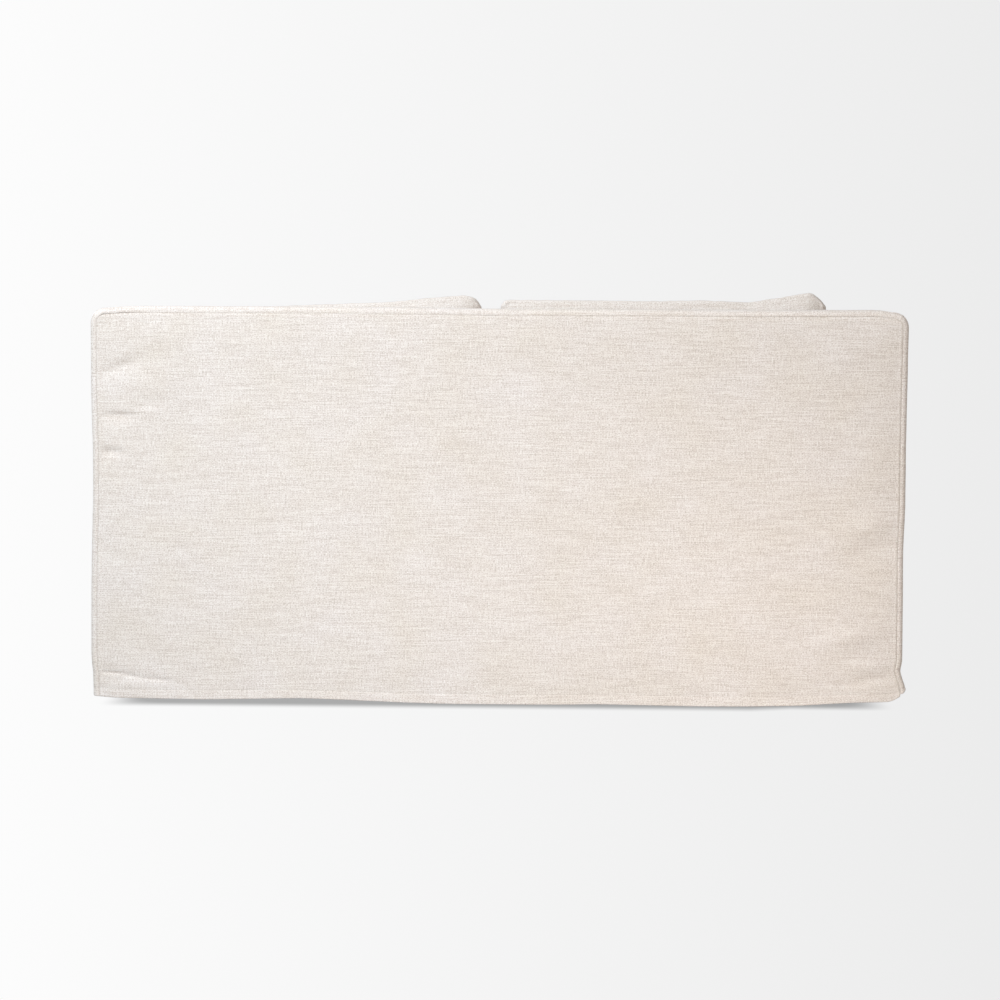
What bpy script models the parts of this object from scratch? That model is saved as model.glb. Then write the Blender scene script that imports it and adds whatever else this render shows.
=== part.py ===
"""Sofa slipcover: a fitted cover for a two-seat sofa, with the covered loose cushions that belong to it.

The cover is sewn from flat panels and boxing strips. It is hollow and open below, like a box without a floor.
The sofa is seen from behind: X runs to the right, Y towards the front of the seat, and Z up, in metres.
Sizes below are counted from the floor, the plane of the back and the middle. An empty then puts the origin
under the cover's top, in the middle of the back, where the sofa carries it.
"""

from collections import namedtuple
from math import ceil, cos, exp, pi, radians, sin, sqrt

import bmesh
import bpy
from mathutils import Vector
from numpy import interp

# The sofa that the cover fits
WIDTH = 1.800
DEPTH = 0.950
BACK_HEIGHT = 0.877
BACK_DEPTH = 0.160
ARM_WIDTH = 0.150
ARM_HEIGHT = 0.600
DECK_HEIGHT = 0.300

# The cloth and how it is sewn
CLOTH = 0.0025  # thickness of one layer, with its slubs
HEM_CLOTH = 0.0040  # the hem is turned up inside, so it is thicker
HEM_DEPTH = 0.023
GAP = 0.0003  # between pieces that meet at a seam
ROLL = 0.010  # radius with which a strip rolls over an edge
TAIL = 0.003  # flat end of a strip, beyond a roll or a turn
CORNER = 0.026  # radius of a strip's turn at the top of the back and at the front of an arm
ROLL_STEPS = 3
CORNER_STEPS = 5
TOP_CROWN = 0.002  # the strip over the back stands up a little along its middle

# The loose cushions
SEAT_CUSHION_HEIGHT = 0.150
SEAT_CUSHION_CROWN = 0.012
SEAT_CUSHION_ROUND = 0.024
SEAT_CUSHION_FRONT = 0.944
BACK_CUSHION_SWELL = 0.080  # from its seam to its back, which leans on the cover
BACK_CUSHION_CROWN = 0.100  # from its seam to its front
BACK_CUSHION_RIM = 0.003  # half the thickness of its sewn edge
CUSHION_SPACE = 0.004  # beside a cushion
DRAWN_IN = 0.010  # how far the middle of a back cushion's side is pulled in

# Worked out from these
HALF = WIDTH / 2
SEAT_HALF = HALF - ARM_WIDTH
INSET = ROLL + TAIL  # from an edge to the seam beside it
FRONT = DEPTH - INSET  # plane of the front apron, where the rolled strips of the arms end
SEAM_HALF = HALF - INSET - GAP  # from the middle to the side seam of the back panel
SEAM_HEIGHT = BACK_HEIGHT - INSET - GAP
SEAM_CORNER = CORNER - INSET - GAP
HEM_EASE = 0.060  # up to here a panel's rows follow its uneven hem
SWAY_FROM = 0.600  # further from the middle than this, the back panel follows its uneven sides
RISE_FROM = 0.700  # higher than this, it follows its uneven top

# How far the ends of the back stand out from half the width, by height
End = namedtuple("End", "up left right")
BACK_ENDS = (
    End(0.020, -0.0038, 0.0040),
    End(0.040, -0.0024, 0.0070),
    End(0.052, -0.0017, 0.0040),
    End(0.066, -0.0010, -0.0010),
    End(0.082, 0.0000, -0.0050),
    End(0.105, 0.0008, -0.0032),
    End(0.240, 0.0015, -0.0040),
    End(0.350, 0.0011, -0.0042),
    End(0.450, 0.0000, -0.0020),
    End(0.570, -0.0005, -0.0018),
    End(0.690, -0.0003, -0.0006),
    End(0.850, 0.0000, 0.0008),
)

# How far the top of the back rises above its height, from left to right
Top = namedtuple("Top", "across rise")
BACK_TOP = (
    Top(-0.900, -0.0010),
    Top(-0.770, 0.0000),
    Top(-0.440, 0.0020),
    Top(-0.130, 0.0000),
    Top(-0.040, -0.0015),
    Top(0.220, -0.0010),
    Top(0.450, -0.0012),
    Top(0.600, -0.0022),
    Top(0.800, -0.0015),
    Top(0.900, -0.0020),
)

# Height of the hem above the floor, along the back and then round each corner
Hem = namedtuple("Hem", "along up")
BACK_HEM = (
    Hem(-0.890, 0.0139),
    Hem(-0.850, 0.0108),
    Hem(-0.810, 0.0090),
    Hem(-0.650, 0.0093),
    Hem(-0.435, 0.0122),
    Hem(-0.320, 0.0090),
    Hem(-0.210, 0.0048),
    Hem(-0.100, 0.0020),
    Hem(0.120, 0.0026),
    Hem(0.230, 0.0036),
    Hem(0.450, 0.0020),
    Hem(0.570, 0.0028),
    Hem(0.670, 0.0046),
    Hem(0.760, 0.0105),
    Hem(0.805, 0.0129),
    Hem(0.860, 0.0148),
    Hem(0.887, 0.0180),
)
LEFT_HEM = (Hem(0.000, 0.0139), Hem(0.060, 0.0160), Hem(0.300, 0.0080), Hem(0.620, 0.0110), Hem(0.950, 0.0080))
RIGHT_HEM = (
    Hem(0.000, 0.0180),
    Hem(0.013, 0.0340),
    Hem(0.050, 0.0270),
    Hem(0.130, 0.0120),
    Hem(0.500, 0.0070),
    Hem(0.950, 0.0090),
)
FRONT_HEM = (Hem(-0.900, 0.0080), Hem(-0.400, 0.0060), Hem(0.150, 0.0090), Hem(0.900, 0.0090))

# Dents (depth above 0) and ridges (below 0) in the back panel: the middle of each, its half length and half
# width, how far it is turned from level, and its depth
Crease = namedtuple("Crease", "across up long wide turn depth")
CREASES = (
    Crease(-0.835, 0.756, 0.052, 0.013, 19, 0.0040),  # three short dents beside the left seam
    Crease(-0.846, 0.642, 0.044, 0.013, 0, 0.0045),
    Crease(-0.856, 0.562, 0.034, 0.012, 0, 0.0035),
    Crease(-0.850, 0.838, 0.040, 0.010, 8, 0.0020),  # pucker under the top left corner
    Crease(-0.845, 0.066, 0.060, 0.011, -2, 0.0030),  # fold over the sofa's lower edge, left
    Crease(-0.755, 0.054, 0.060, 0.011, -8, 0.0030),
    Crease(-0.810, 0.034, 0.110, 0.020, 0, -0.0040),  # the hem bellies out below it
    Crease(0.835, 0.392, 0.070, 0.024, 12, 0.0040),  # hollows beside the right seam
    Crease(0.846, 0.150, 0.055, 0.034, 0, 0.0040),
    Crease(0.815, 0.044, 0.075, 0.015, 15, -0.0060),  # ridge down to the flared right corner
    Crease(0.100, 0.300, 0.700, 0.220, 3, 0.0025),  # slack over the middle of the back
    Crease(-0.350, 0.600, 0.450, 0.200, -4, -0.0015),
)
FADE = 0.014  # a crease dies out this close to a seam

# Where a mesh is finer than elsewhere. Pieces that share an uneven seam have lines at the same places along it.
Zone = namedtuple("Zone", "low high step")
LOW_ROWS = (Zone(0.000, HEM_DEPTH, 0.012), Zone(HEM_DEPTH, 0.105, 0.0103))
BACK_COLUMN_STEP = 0.130
BACK_COLUMNS = (
    Zone(-SEAM_HALF, -SEAM_HALF + SEAM_CORNER, 0.0065),
    Zone(-SEAM_HALF + SEAM_CORNER, -0.800, 0.019),
    Zone(-0.800, -0.700, 0.034),
    Zone(0.740, SEAM_HALF - SEAM_CORNER, 0.023),
    Zone(SEAM_HALF - SEAM_CORNER, SEAM_HALF, 0.0065),
)
BACK_ROW_STEP = 0.070
BACK_ROWS = (
    *LOW_ROWS,
    Zone(0.105, 0.195, 0.031),
    Zone(0.370, 0.415, 0.023),
    Zone(0.548, 0.576, 0.0095),
    Zone(0.628, 0.656, 0.0095),
    Zone(0.736, 0.776, 0.0135),
    Zone(0.828, SEAM_HEIGHT - SEAM_CORNER, 0.012),
    Zone(SEAM_HEIGHT - SEAM_CORNER, SEAM_HEIGHT, 0.0065),
)
TOP_STOPS = [row.across for row in BACK_TOP[1:-1]]
END_STOPS = [row.up for row in BACK_ENDS if row.up > LOW_ROWS[-1].high]

# Tops of the back cushions: height of the sewn edge from left to right
CushionTop = namedtuple("CushionTop", "across up")
LEFT_CUSHION_TOP = (
    CushionTop(-0.740, 0.862),
    CushionTop(-0.650, 0.873),
    CushionTop(-0.400, 0.8845),
    CushionTop(-0.250, 0.8898),
    CushionTop(-0.140, 0.8995),
    CushionTop(-0.085, 0.9036),
    CushionTop(-0.060, 0.9020),
    CushionTop(-0.046, 0.8820),
)
RIGHT_CUSHION_TOP = (
    CushionTop(-0.002, 0.8800),
    CushionTop(0.012, 0.8950),
    CushionTop(0.035, 0.8968),
    CushionTop(0.226, 0.8975),
    CushionTop(0.340, 0.8960),
    CushionTop(0.460, 0.8995),
    CushionTop(0.567, 0.8957),
    CushionTop(0.640, 0.9070),
    CushionTop(0.705, 0.9165),
    CushionTop(0.726, 0.9020),
    CushionTop(0.740, 0.8850),
)

PALE_LINEN = (0.78, 0.73, 0.67, 1.0)
CUSHION_LINEN = (0.76, 0.72, 0.67, 1.0)
CLOTH_ROUGHNESS = 0.95


# ---- curves through the tables ----


def along_table(rows, at, column=1):
    """The value in a column of rows at a place in their first column, straight from row to row."""
    return float(interp(at, [row[0] for row in rows], [row[column] for row in rows]))


def share(value, low, high):
    """0 at low, 1 at high, and evenly between."""
    return min(max((value - low) / (high - low), 0.0), 1.0)


def end_out(side, up):
    """How far the end of the back stands out from half the width."""
    return along_table(BACK_ENDS, up, 2 if side > 0 else 1)


def top_of_back(across):
    return BACK_HEIGHT + along_table(BACK_TOP, across)


def side_hem(side, along):
    return along_table(RIGHT_HEM if side > 0 else LEFT_HEM, along)


def on_hem(up, hem):
    """A row's height, once the rows near the floor are squeezed up to the hem."""
    return hem + up * (HEM_EASE - hem) / HEM_EASE if up < HEM_EASE else up


def round_corner(along, up, edge, top):
    """A place on a square-cornered panel, moved so that the corner where edge meets top is round."""
    a, b = (along - edge) / SEAM_CORNER + 1, (up - top) / SEAM_CORNER + 1
    if a > 0 and b > 0:
        along += SEAM_CORNER * a * (sqrt(1 - b * b / 2) - 1)
        up += SEAM_CORNER * b * (sqrt(1 - a * a / 2) - 1)
    return along, up


def crease_depth(across, up):
    """How far the creases push the back panel in at a place on it."""
    depth = 0.0
    for crease in CREASES:
        turn = radians(crease.turn)
        x, z = across - crease.across, up - crease.up
        lengthwise = (x * cos(turn) + z * sin(turn)) / crease.long
        widthwise = (z * cos(turn) - x * sin(turn)) / crease.wide
        depth += crease.depth * exp(-2 * (lengthwise**2 + widthwise**2))
    return depth


# ---- sheets of cloth ----


def grid_lines(low, high, step, zones=(), stops=()):
    """Places from low to high, step apart, and closer inside each zone. The stops are among them."""
    ends = {place for zone in zones for place in (zone.low, zone.high)}
    stops = sorted({low, high} | {place for place in ends.union(stops) if low < place < high})
    lines = [low]
    for start, end in zip(stops, stops[1:]):
        inside = [zone.step for zone in zones if zone.low <= start and end <= zone.high]
        count = ceil((end - start) / min([step, *inside]) - 0.001)
        lines += [start + (end - start) * k / count for k in range(1, count + 1)]
    return lines


def material(name, colour):
    made = bpy.data.materials.new(name)
    made.use_nodes = True
    shader = made.node_tree.nodes["Principled BSDF"]
    shader.inputs["Base Color"].default_value = colour
    shader.inputs["Roughness"].default_value = CLOTH_ROUGHNESS
    shader.inputs["Metallic"].default_value = 0.0
    return made


def add_object(name, bm, colour):
    """An object made from a bmesh, in the cover's collection, under the floor empty."""
    mesh = bpy.data.meshes.new(name)
    bm.to_mesh(mesh)
    bm.free()
    mesh.shade_smooth()
    mesh.materials.append(material(name + "_cloth", colour))
    made = bpy.data.objects.new(name, mesh)
    made.parent = floor
    cover.objects.link(made)
    return made


def rows_in_hem(heights):
    return sum(height < HEM_DEPTH + GAP for height in heights)


def sheet(name, columns, rows, place, outward, hem_rows=0, cut_out=None):
    """A sewn panel or strip: a grid of columns and rows that place() bends to its outer face, then given the
    cloth's thickness on the inside. Its first hem_rows are the hem. cut_out() says which faces are cut away."""
    bm = bmesh.new()
    bmesh.ops.create_grid(bm, x_segments=len(columns) - 1, y_segments=len(rows) - 1, size=0.5)
    in_hem = []
    for vert in bm.verts:
        column = round((vert.co.x + 0.5) * (len(columns) - 1))
        row = round((vert.co.y + 0.5) * (len(rows) - 1))
        if row < hem_rows:
            in_hem.append(vert.index)
        vert.co = place(columns[column], rows[row])
    if cut_out:
        away = [face for face in bm.faces if cut_out(face.calc_center_median())]
        bmesh.ops.delete(bm, geom=away, context="FACES")
    bm.normal_update()
    facing = sum((face.normal * face.calc_area() for face in bm.faces), Vector())
    if facing.dot(outward) < 0:
        bmesh.ops.reverse_faces(bm, faces=bm.faces)
    panel = add_object(name, bm, PALE_LINEN)
    thicken = panel.modifiers.new("cloth thickness", "SOLIDIFY")
    thicken.offset = -1.0
    thicken.use_even_offset = True
    thicken.use_quality_normals = True
    thicken.thickness = CLOTH
    if hem_rows:
        doubled = panel.vertex_groups.new(name="hem")
        doubled.add(in_hem, 1.0, "ADD")
        thicken.thickness = HEM_CLOTH
        thicken.vertex_group = doubled.name
        thicken.thickness_vertex_group = CLOTH / HEM_CLOTH


# ---- the back ----


def on_back(across, up, hem):
    """A place on the plane of the back: sides, top and hem are as uneven as in the cloth, corners are round."""
    side = 1 if across > 0 else -1
    up = on_hem(up, hem)
    up += along_table(BACK_TOP, across) * share(up, RISE_FROM, SEAM_HEIGHT)
    across += side * end_out(side, up) * share(abs(across), SWAY_FROM, SEAM_HALF)
    edge = SEAM_HALF + end_out(side, up)
    across_out, up = round_corner(abs(across), up, edge, SEAM_HEIGHT + along_table(BACK_TOP, across))
    return side * across_out, up


def make_outside_back():
    def place(across, up):
        x, z = on_back(across, up, along_table(BACK_HEM, across))
        from_seam = min(SEAM_HALF - abs(across), SEAM_HEIGHT - up)
        return x, crease_depth(x, z) * share(from_seam, 0.0, FADE), z

    columns = grid_lines(-SEAM_HALF, SEAM_HALF, BACK_COLUMN_STEP, BACK_COLUMNS, TOP_STOPS)
    rows = grid_lines(0.0, SEAM_HEIGHT, BACK_ROW_STEP, BACK_ROWS, END_STOPS)
    sheet("outside_back", columns, rows, place, Vector((0, -1, 0)), rows_in_hem(rows))


def rolls_to_front(up):
    """Above the arms the back's strip rolls over to the inside back, below them it runs on into the arm."""
    return share(up, ARM_HEIGHT, ARM_HEIGHT + 0.020)


def make_inside_back():
    bottom = DECK_HEIGHT - CLOTH
    arm_bottom = ARM_HEIGHT - CLOTH

    def place(across, up):
        x, z = on_back(across, up, 0.0)
        if abs(across) > SEAT_HALF and up < SEAM_HEIGHT - SEAM_CORNER:
            edge = HALF + end_out(across, z) - max(2 * CLOTH, INSET * rolls_to_front(up)) - GAP
            outer = share(abs(across), SEAT_HALF, SEAM_HALF)
            x = (SEAT_HALF + (edge - SEAT_HALF) * outer) * (1 if across > 0 else -1)
        return x, BACK_DEPTH, z

    def round_arms(centre):
        return abs(centre.x) > SEAT_HALF and centre.z < arm_bottom

    end = Zone(SEAM_HALF - SEAM_CORNER, SEAM_HALF, 0.0065)
    column_zones = (Zone(-end.high, -end.low, end.step), Zone(-SEAT_HALF, SEAT_HALF, 0.450), end)
    columns = grid_lines(-SEAM_HALF, SEAM_HALF, 0.200, column_zones, TOP_STOPS)
    row_zones = (
        Zone(arm_bottom, ARM_HEIGHT, CLOTH),
        Zone(ARM_HEIGHT, ARM_HEIGHT + 0.020, 0.020),
        Zone(SEAM_HEIGHT - SEAM_CORNER, SEAM_HEIGHT, 0.0065),
    )
    rows = grid_lines(bottom, SEAM_HEIGHT, 0.350, row_zones, END_STOPS)
    sheet("inside_back", columns, rows, place, Vector((0, 1, 0)), cut_out=round_arms)


# A place across a boxing strip: how far in from the strip's flat face, how far along its width, and whether it
# is on the front edge
Across = namedtuple("Across", "inset along front")
# A place on the line that a strip follows, with the way its flat face looks there
Station = namedtuple("Station", "along up out_along out_up row")


def strip_section(width, flats, crown=0.0):
    """Places across a boxing strip that is rolled over at both edges."""
    roll = [radians(90 * k / ROLL_STEPS) for k in range(ROLL_STEPS)]
    places = [Across(INSET, 0.0, False)]
    places += [Across(ROLL * (1 - sin(a)), ROLL * (1 - cos(a)), False) for a in roll]
    for k in range(flats + 1):
        along = ROLL + (width - 2 * ROLL) * k / flats
        places.append(Across(-crown * sin(pi * k / flats), along, False))
    places += [Across(ROLL * (1 - sin(a)), width - ROLL * (1 - cos(a)), True) for a in reversed(roll)]
    places.append(Across(INSET, width, True))
    return places


def turn_stations(middle_along, middle_up, side, row):
    """The stations of a strip's quarter turn, from facing sideways to facing up."""
    stations = []
    for k in range(1, CORNER_STEPS + 1):
        angle = radians(90 * k / CORNER_STEPS)
        out_along, out_up = side * cos(angle), sin(angle)
        along = middle_along + CORNER * out_along
        stations.append(Station(along, middle_up + CORNER * out_up, out_along, out_up, row))
    return stations


def end_station(side):
    """The middle of the turn at one end of the back's top."""
    middle_up = top_of_back(side * (HALF - CORNER)) - CORNER
    return side * (HALF + end_out(side, middle_up) - CORNER), middle_up


def make_back_side_band(name, side):
    middle_across, middle_up = end_station(side)
    zones = (*LOW_ROWS, Zone(ARM_HEIGHT, ARM_HEIGHT + 0.020, 0.020))
    stations = []
    for up in grid_lines(0.0, middle_up, 0.150, zones, END_STOPS):
        stations.append(Station(side * HALF, up, side, 0.0, up))
    stations += turn_stations(middle_across, middle_up, side, middle_up)
    stations.append(stations[-1]._replace(along=middle_across - side * TAIL))

    def place(section, station):
        x, z = station.along, station.up
        if station.out_up == 0.0:
            z = on_hem(z, side_hem(side, section.along))
            x += side * end_out(side, z)
        inset = section.inset * (rolls_to_front(station.row) if section.front else 1.0)
        return x - station.out_along * inset, section.along, z - station.out_up * inset

    section = strip_section(BACK_DEPTH, flats=1)
    hem_rows = rows_in_hem([station.row for station in stations])
    sheet(name, section, stations, place, Vector((side, 0, 0)), hem_rows)


def make_back_top_band():
    low = end_station(-1)[0] + TAIL + GAP
    high = end_station(1)[0] - TAIL - GAP
    stations = []
    for across in grid_lines(low, high, 0.150, stops=TOP_STOPS):
        stations.append(Station(across, top_of_back(across), 0.0, 1.0, across))

    def place(section, station):
        ends = min(station.along - low, high - station.along)
        inset = section.inset * (share(ends, 0.0, 0.050) if section.inset < 0 else 1.0)
        return station.along, section.along, station.up - inset

    section = strip_section(BACK_DEPTH, flats=4, crown=TOP_CROWN)
    sheet("back_top_band", section, stations, place, Vector((0, 0, 1)))


# ---- the arms ----


def outer_end(side, along, up):
    """How far an arm's outer face stands out: it leaves the end of the back as uneven as that is."""
    return end_out(side, up) * (1 - share(along, BACK_DEPTH, DEPTH))


def arm_place(side, section, station):
    """A place on an arm's strip, whose section runs from the outer face to the inner one."""
    y = station.along - station.out_along * section.inset
    z = station.up - station.out_up * section.inset
    outer = 1 - share(section.along, 0.0, ARM_WIDTH)
    return side * (HALF - section.along + outer * outer_end(side, y, z)), y, z


def make_arm_top(name, side):
    start = BACK_DEPTH + GAP
    turn = DEPTH - CORNER
    stations = [Station(along, ARM_HEIGHT, 0.0, 1.0, 0.0) for along in grid_lines(start, turn, 0.200)[:-1]]
    stations += reversed(turn_stations(turn, ARM_HEIGHT - CORNER, 1, 0.0))
    for up in (ARM_HEIGHT - CORNER, ARM_HEIGHT - CORNER - TAIL):
        stations.append(Station(DEPTH, up, 1.0, 0.0, 0.0))

    def place(section, station):
        return arm_place(side, section, station)

    sheet(name, strip_section(ARM_WIDTH, flats=1), stations, place, Vector((0, 0, 1)))


def make_arm_front(name, side):
    top = ARM_HEIGHT - CORNER - TAIL - GAP
    zones = (Zone(0.0, HEM_DEPTH, HEM_DEPTH), Zone(HEM_DEPTH, HEM_EASE, 0.040))
    rows = grid_lines(0.0, top, 0.120, zones)
    stations = [Station(DEPTH, up, 1.0, 0.0, up) for up in rows]

    def place(section, station):
        x, y, z = arm_place(side, section, station)
        return x, y, on_hem(z, along_table(FRONT_HEM, x))

    section = strip_section(ARM_WIDTH, flats=1)
    sheet(name, section, stations, place, Vector((0, 1, 0)), rows_in_hem(rows))


# The seams of an arm's side panels with its strip, and the round corner between them
ARM_SEAM_FRONT = FRONT - GAP
ARM_SEAM_TOP = ARM_HEIGHT - INSET - GAP
ARM_CORNER_COLUMNS = Zone(ARM_SEAM_FRONT - SEAM_CORNER, ARM_SEAM_FRONT, 0.0065)
ARM_CORNER_ROWS = Zone(ARM_SEAM_TOP - SEAM_CORNER, ARM_SEAM_TOP, 0.0065)


def make_outside_arm(name, side):
    def place(along, up):
        z = on_hem(up, side_hem(side, along))
        y, z = round_corner(along, z, ARM_SEAM_FRONT, ARM_SEAM_TOP)
        return side * (HALF + outer_end(side, y, z)), y, z

    columns = grid_lines(BACK_DEPTH + GAP, ARM_SEAM_FRONT, 0.200, [ARM_CORNER_COLUMNS])
    rows = grid_lines(0.0, ARM_SEAM_TOP, 0.150, (*LOW_ROWS, ARM_CORNER_ROWS), END_STOPS)
    sheet(name, columns, rows, place, Vector((side, 0, 0)), rows_in_hem(rows))


def make_inside_arm(name, side):
    def place(along, up):
        y, z = round_corner(along, up, ARM_SEAM_FRONT, ARM_SEAM_TOP)
        return side * SEAT_HALF, y, z

    columns = grid_lines(BACK_DEPTH + GAP, ARM_SEAM_FRONT, 0.260, [ARM_CORNER_COLUMNS])
    rows = grid_lines(DECK_HEIGHT - CLOTH, ARM_SEAM_TOP, 0.280, [ARM_CORNER_ROWS])
    sheet(name, columns, rows, place, Vector((-side, 0, 0)))


# ---- the seat ----


def make_seat_deck():
    def place(across, section):
        return across, section.along, DECK_HEIGHT - section.inset

    columns = grid_lines(-SEAT_HALF + GAP, SEAT_HALF - GAP, 0.250)
    start = BACK_DEPTH + GAP
    depths = grid_lines(start, FRONT - ROLL, 0.200)
    rows = [Across(0.0, along, False) for along in depths]
    for k in range(1, ROLL_STEPS + 1):
        angle = radians(90 * k / ROLL_STEPS)
        rows.append(Across(ROLL * (1 - cos(angle)), FRONT - ROLL * (1 - sin(angle)), True))
    rows.append(Across(INSET, FRONT, True))
    sheet("seat_deck", columns, rows, place, Vector((0, 0, 1)))


def make_front_apron():
    def place(across, up):
        return across, FRONT, on_hem(up, along_table(FRONT_HEM, across))

    columns = grid_lines(-SEAT_HALF + GAP, SEAT_HALF - GAP, 0.130)
    zones = (Zone(0.0, HEM_DEPTH, HEM_DEPTH), Zone(HEM_DEPTH, HEM_EASE, 0.040))
    rows = grid_lines(0.0, DECK_HEIGHT - INSET - GAP, 0.080, zones)
    sheet("front_apron", columns, rows, place, Vector((0, 1, 0)), rows_in_hem(rows))


# ---- the cushions ----

# Where the lines of a cushion's mesh lie, from its middle to its edge
CUSHION_LINES = (0.0, 0.40, 0.72, 0.92, 1.0)


def cushion(name, place):
    """A filled cushion: the grid on a cube, whose points place() moves from -1..1 to the cushion's skin."""
    steps = 2 * (len(CUSHION_LINES) - 1)
    bm = bmesh.new()
    bmesh.ops.create_cube(bm, size=2.0)
    bmesh.ops.subdivide_edges(bm, edges=bm.edges, cuts=steps - 1, use_grid_fill=True)
    for vert in bm.verts:
        lines = [CUSHION_LINES[round(abs(part) * steps / 2)] for part in vert.co]
        vert.co = place(*(line if part > 0 else -line for line, part in zip(lines, vert.co)))
    return add_object(name, bm, CUSHION_LINEN)


def rounded_box(point, half_sizes, radius):
    """A point on a box, moved onto the round that softens the box's edges."""
    core = Vector([min(max(p, radius - h), h - radius) for p, h in zip(point, half_sizes)])
    away = Vector(point) - core
    return core + away.normalized() * radius


def make_seat_cushion(name, low, high):
    rear = BACK_DEPTH + CUSHION_SPACE
    middle = Vector(((low + high) / 2, (rear + SEAT_CUSHION_FRONT) / 2, 0.0))
    half = Vector(((high - low) / 2, (SEAT_CUSHION_FRONT - rear) / 2, SEAT_CUSHION_HEIGHT / 2))
    middle.z = DECK_HEIGHT + GAP + half.z

    def place(u, v, w):
        flat = Vector((u * half.x, v * half.y, w * half.z))
        skin = rounded_box(flat, half, SEAT_CUSHION_ROUND)
        if w > 0:
            skin.z += SEAT_CUSHION_CROWN * w * (1 - u**4) * (1 - v**4)
        return middle + skin

    cushion(name, place)


SEAT_TOP = DECK_HEIGHT + GAP + SEAT_CUSHION_HEIGHT + SEAT_CUSHION_CROWN


def make_back_cushion(name, top_rows):
    low, high = top_rows[0].across, top_rows[-1].across
    seam = BACK_DEPTH + GAP + BACK_CUSHION_SWELL + BACK_CUSHION_RIM
    bottom = SEAT_TOP + GAP

    def place(u, v, w):
        swollen = sqrt((1 - u**4) * (1 - w**4))
        swell = BACK_CUSHION_CROWN if v > 0 else BACK_CUSHION_SWELL
        y = seam + v * (BACK_CUSHION_RIM + swell * swollen)
        x = (low + high) / 2 + u * ((high - low) / 2 - DRAWN_IN * (1 - w**2))
        top = along_table(top_rows, x)
        return x, y, bottom + (top - bottom) * (w + 1) / 2

    cushion(name, place)


# ---- build ----

for old in list(bpy.data.objects):
    bpy.data.objects.remove(old)

cover = bpy.data.collections.new("sofa_slipcover")
bpy.context.scene.collection.children.link(cover)
floor = bpy.data.objects.new("floor", None)
floor.location = (0.0, -BACK_DEPTH / 2, -(top_of_back(0.0) + TOP_CROWN - CLOTH))
cover.objects.link(floor)

make_outside_back()
make_back_top_band()
make_inside_back()
for word, way in (("left", -1), ("right", 1)):
    make_back_side_band("back_side_band_" + word, way)
    make_outside_arm("outside_arm_" + word, way)
    make_arm_top("arm_top_" + word, way)
    make_arm_front("arm_front_" + word, way)
    make_inside_arm("inside_arm_" + word, way)
make_seat_deck()
make_front_apron()
make_seat_cushion("seat_cushion_left", -SEAT_HALF + CUSHION_SPACE, -CUSHION_SPACE / 2)
make_seat_cushion("seat_cushion_right", CUSHION_SPACE / 2, SEAT_HALF - CUSHION_SPACE)
make_back_cushion("back_cushion_left", LEFT_CUSHION_TOP)
make_back_cushion("back_cushion_right", RIGHT_CUSHION_TOP)
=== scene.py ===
"""The looks of the sofa slipcover: a fitted cover of cream slub cloth, sewn from panels and boxing strips,
with its loose cushions. X runs to the right as seen from behind, Y towards the front of the seat, Z up, in
metres.
"""

from math import ceil, hypot, pi, radians

import bpy
import numpy as np
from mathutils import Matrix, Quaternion, Vector, noise


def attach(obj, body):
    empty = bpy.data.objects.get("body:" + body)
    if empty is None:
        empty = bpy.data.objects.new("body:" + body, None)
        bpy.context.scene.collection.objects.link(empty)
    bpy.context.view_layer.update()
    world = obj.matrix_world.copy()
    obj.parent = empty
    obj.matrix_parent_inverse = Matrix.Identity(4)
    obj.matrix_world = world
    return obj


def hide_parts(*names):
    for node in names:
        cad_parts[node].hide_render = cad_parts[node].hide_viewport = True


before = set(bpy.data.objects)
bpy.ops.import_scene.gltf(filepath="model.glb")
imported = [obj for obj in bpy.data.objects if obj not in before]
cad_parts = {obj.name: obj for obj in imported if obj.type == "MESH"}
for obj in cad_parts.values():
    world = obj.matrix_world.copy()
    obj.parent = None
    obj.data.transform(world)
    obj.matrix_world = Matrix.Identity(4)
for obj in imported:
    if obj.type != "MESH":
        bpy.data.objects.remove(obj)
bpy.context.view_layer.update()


# ---- Outside back ----
# The largest panel of the cover, cut across the width of a heavy cream cloth with slubs in its weft. It is
# sewn into the strips round it, and its lower edge is turned up inside and caught with a blind stitch.

BACK, FLOOR = -0.080, -0.87508  # the planes of the outside back and of the floor
WIDTH, BACK_HEIGHT = 1.800, 0.877
SEAM_INSET = 0.0131  # from an edge of the back to the seam beside it
SEAM_CORNER = 0.021  # radius of a seam's turn in a corner
CLOTH, ALLOWANCE = 0.0013, 0.010  # thickness of one layer, and width of the second one behind a seam
HEM_FOLD, HEM_DEPTH = 0.0016, 0.023  # radius of the hem's fold, and height of the hem
TURNED_UP = 0.027  # flat length of the cloth from the fold on
HEM_EASE = 0.060  # the height below which the cloth gives way to the uneven hem
SIDE_PULL, FULLNESS = 0.35, 0.0045  # pull of the side seams, and how far the panel stands proud of its seams
SEAM_SIDE, SEAM_TOP = WIDTH / 2 - SEAM_INSET, BACK_HEIGHT - SEAM_INSET

# How far the ends stand out from half the width: height, left, right
BACK_ENDS = (
    (0.020, -0.0045, 0.0050),
    (0.038, -0.0040, 0.0066),
    (0.052, -0.0036, 0.0026),
    (0.066, -0.0032, -0.0022),
    (0.082, -0.0010, -0.0072),
    (0.105, 0.0006, -0.0026),
    (0.240, 0.0006, -0.0031),
    (0.350, -0.0013, -0.0042),
    (0.450, -0.0041, -0.0008),
    (0.570, -0.0037, -0.0014),
    (0.690, -0.0003, -0.0004),
    (0.850, 0.0000, 0.0014),
)
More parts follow.
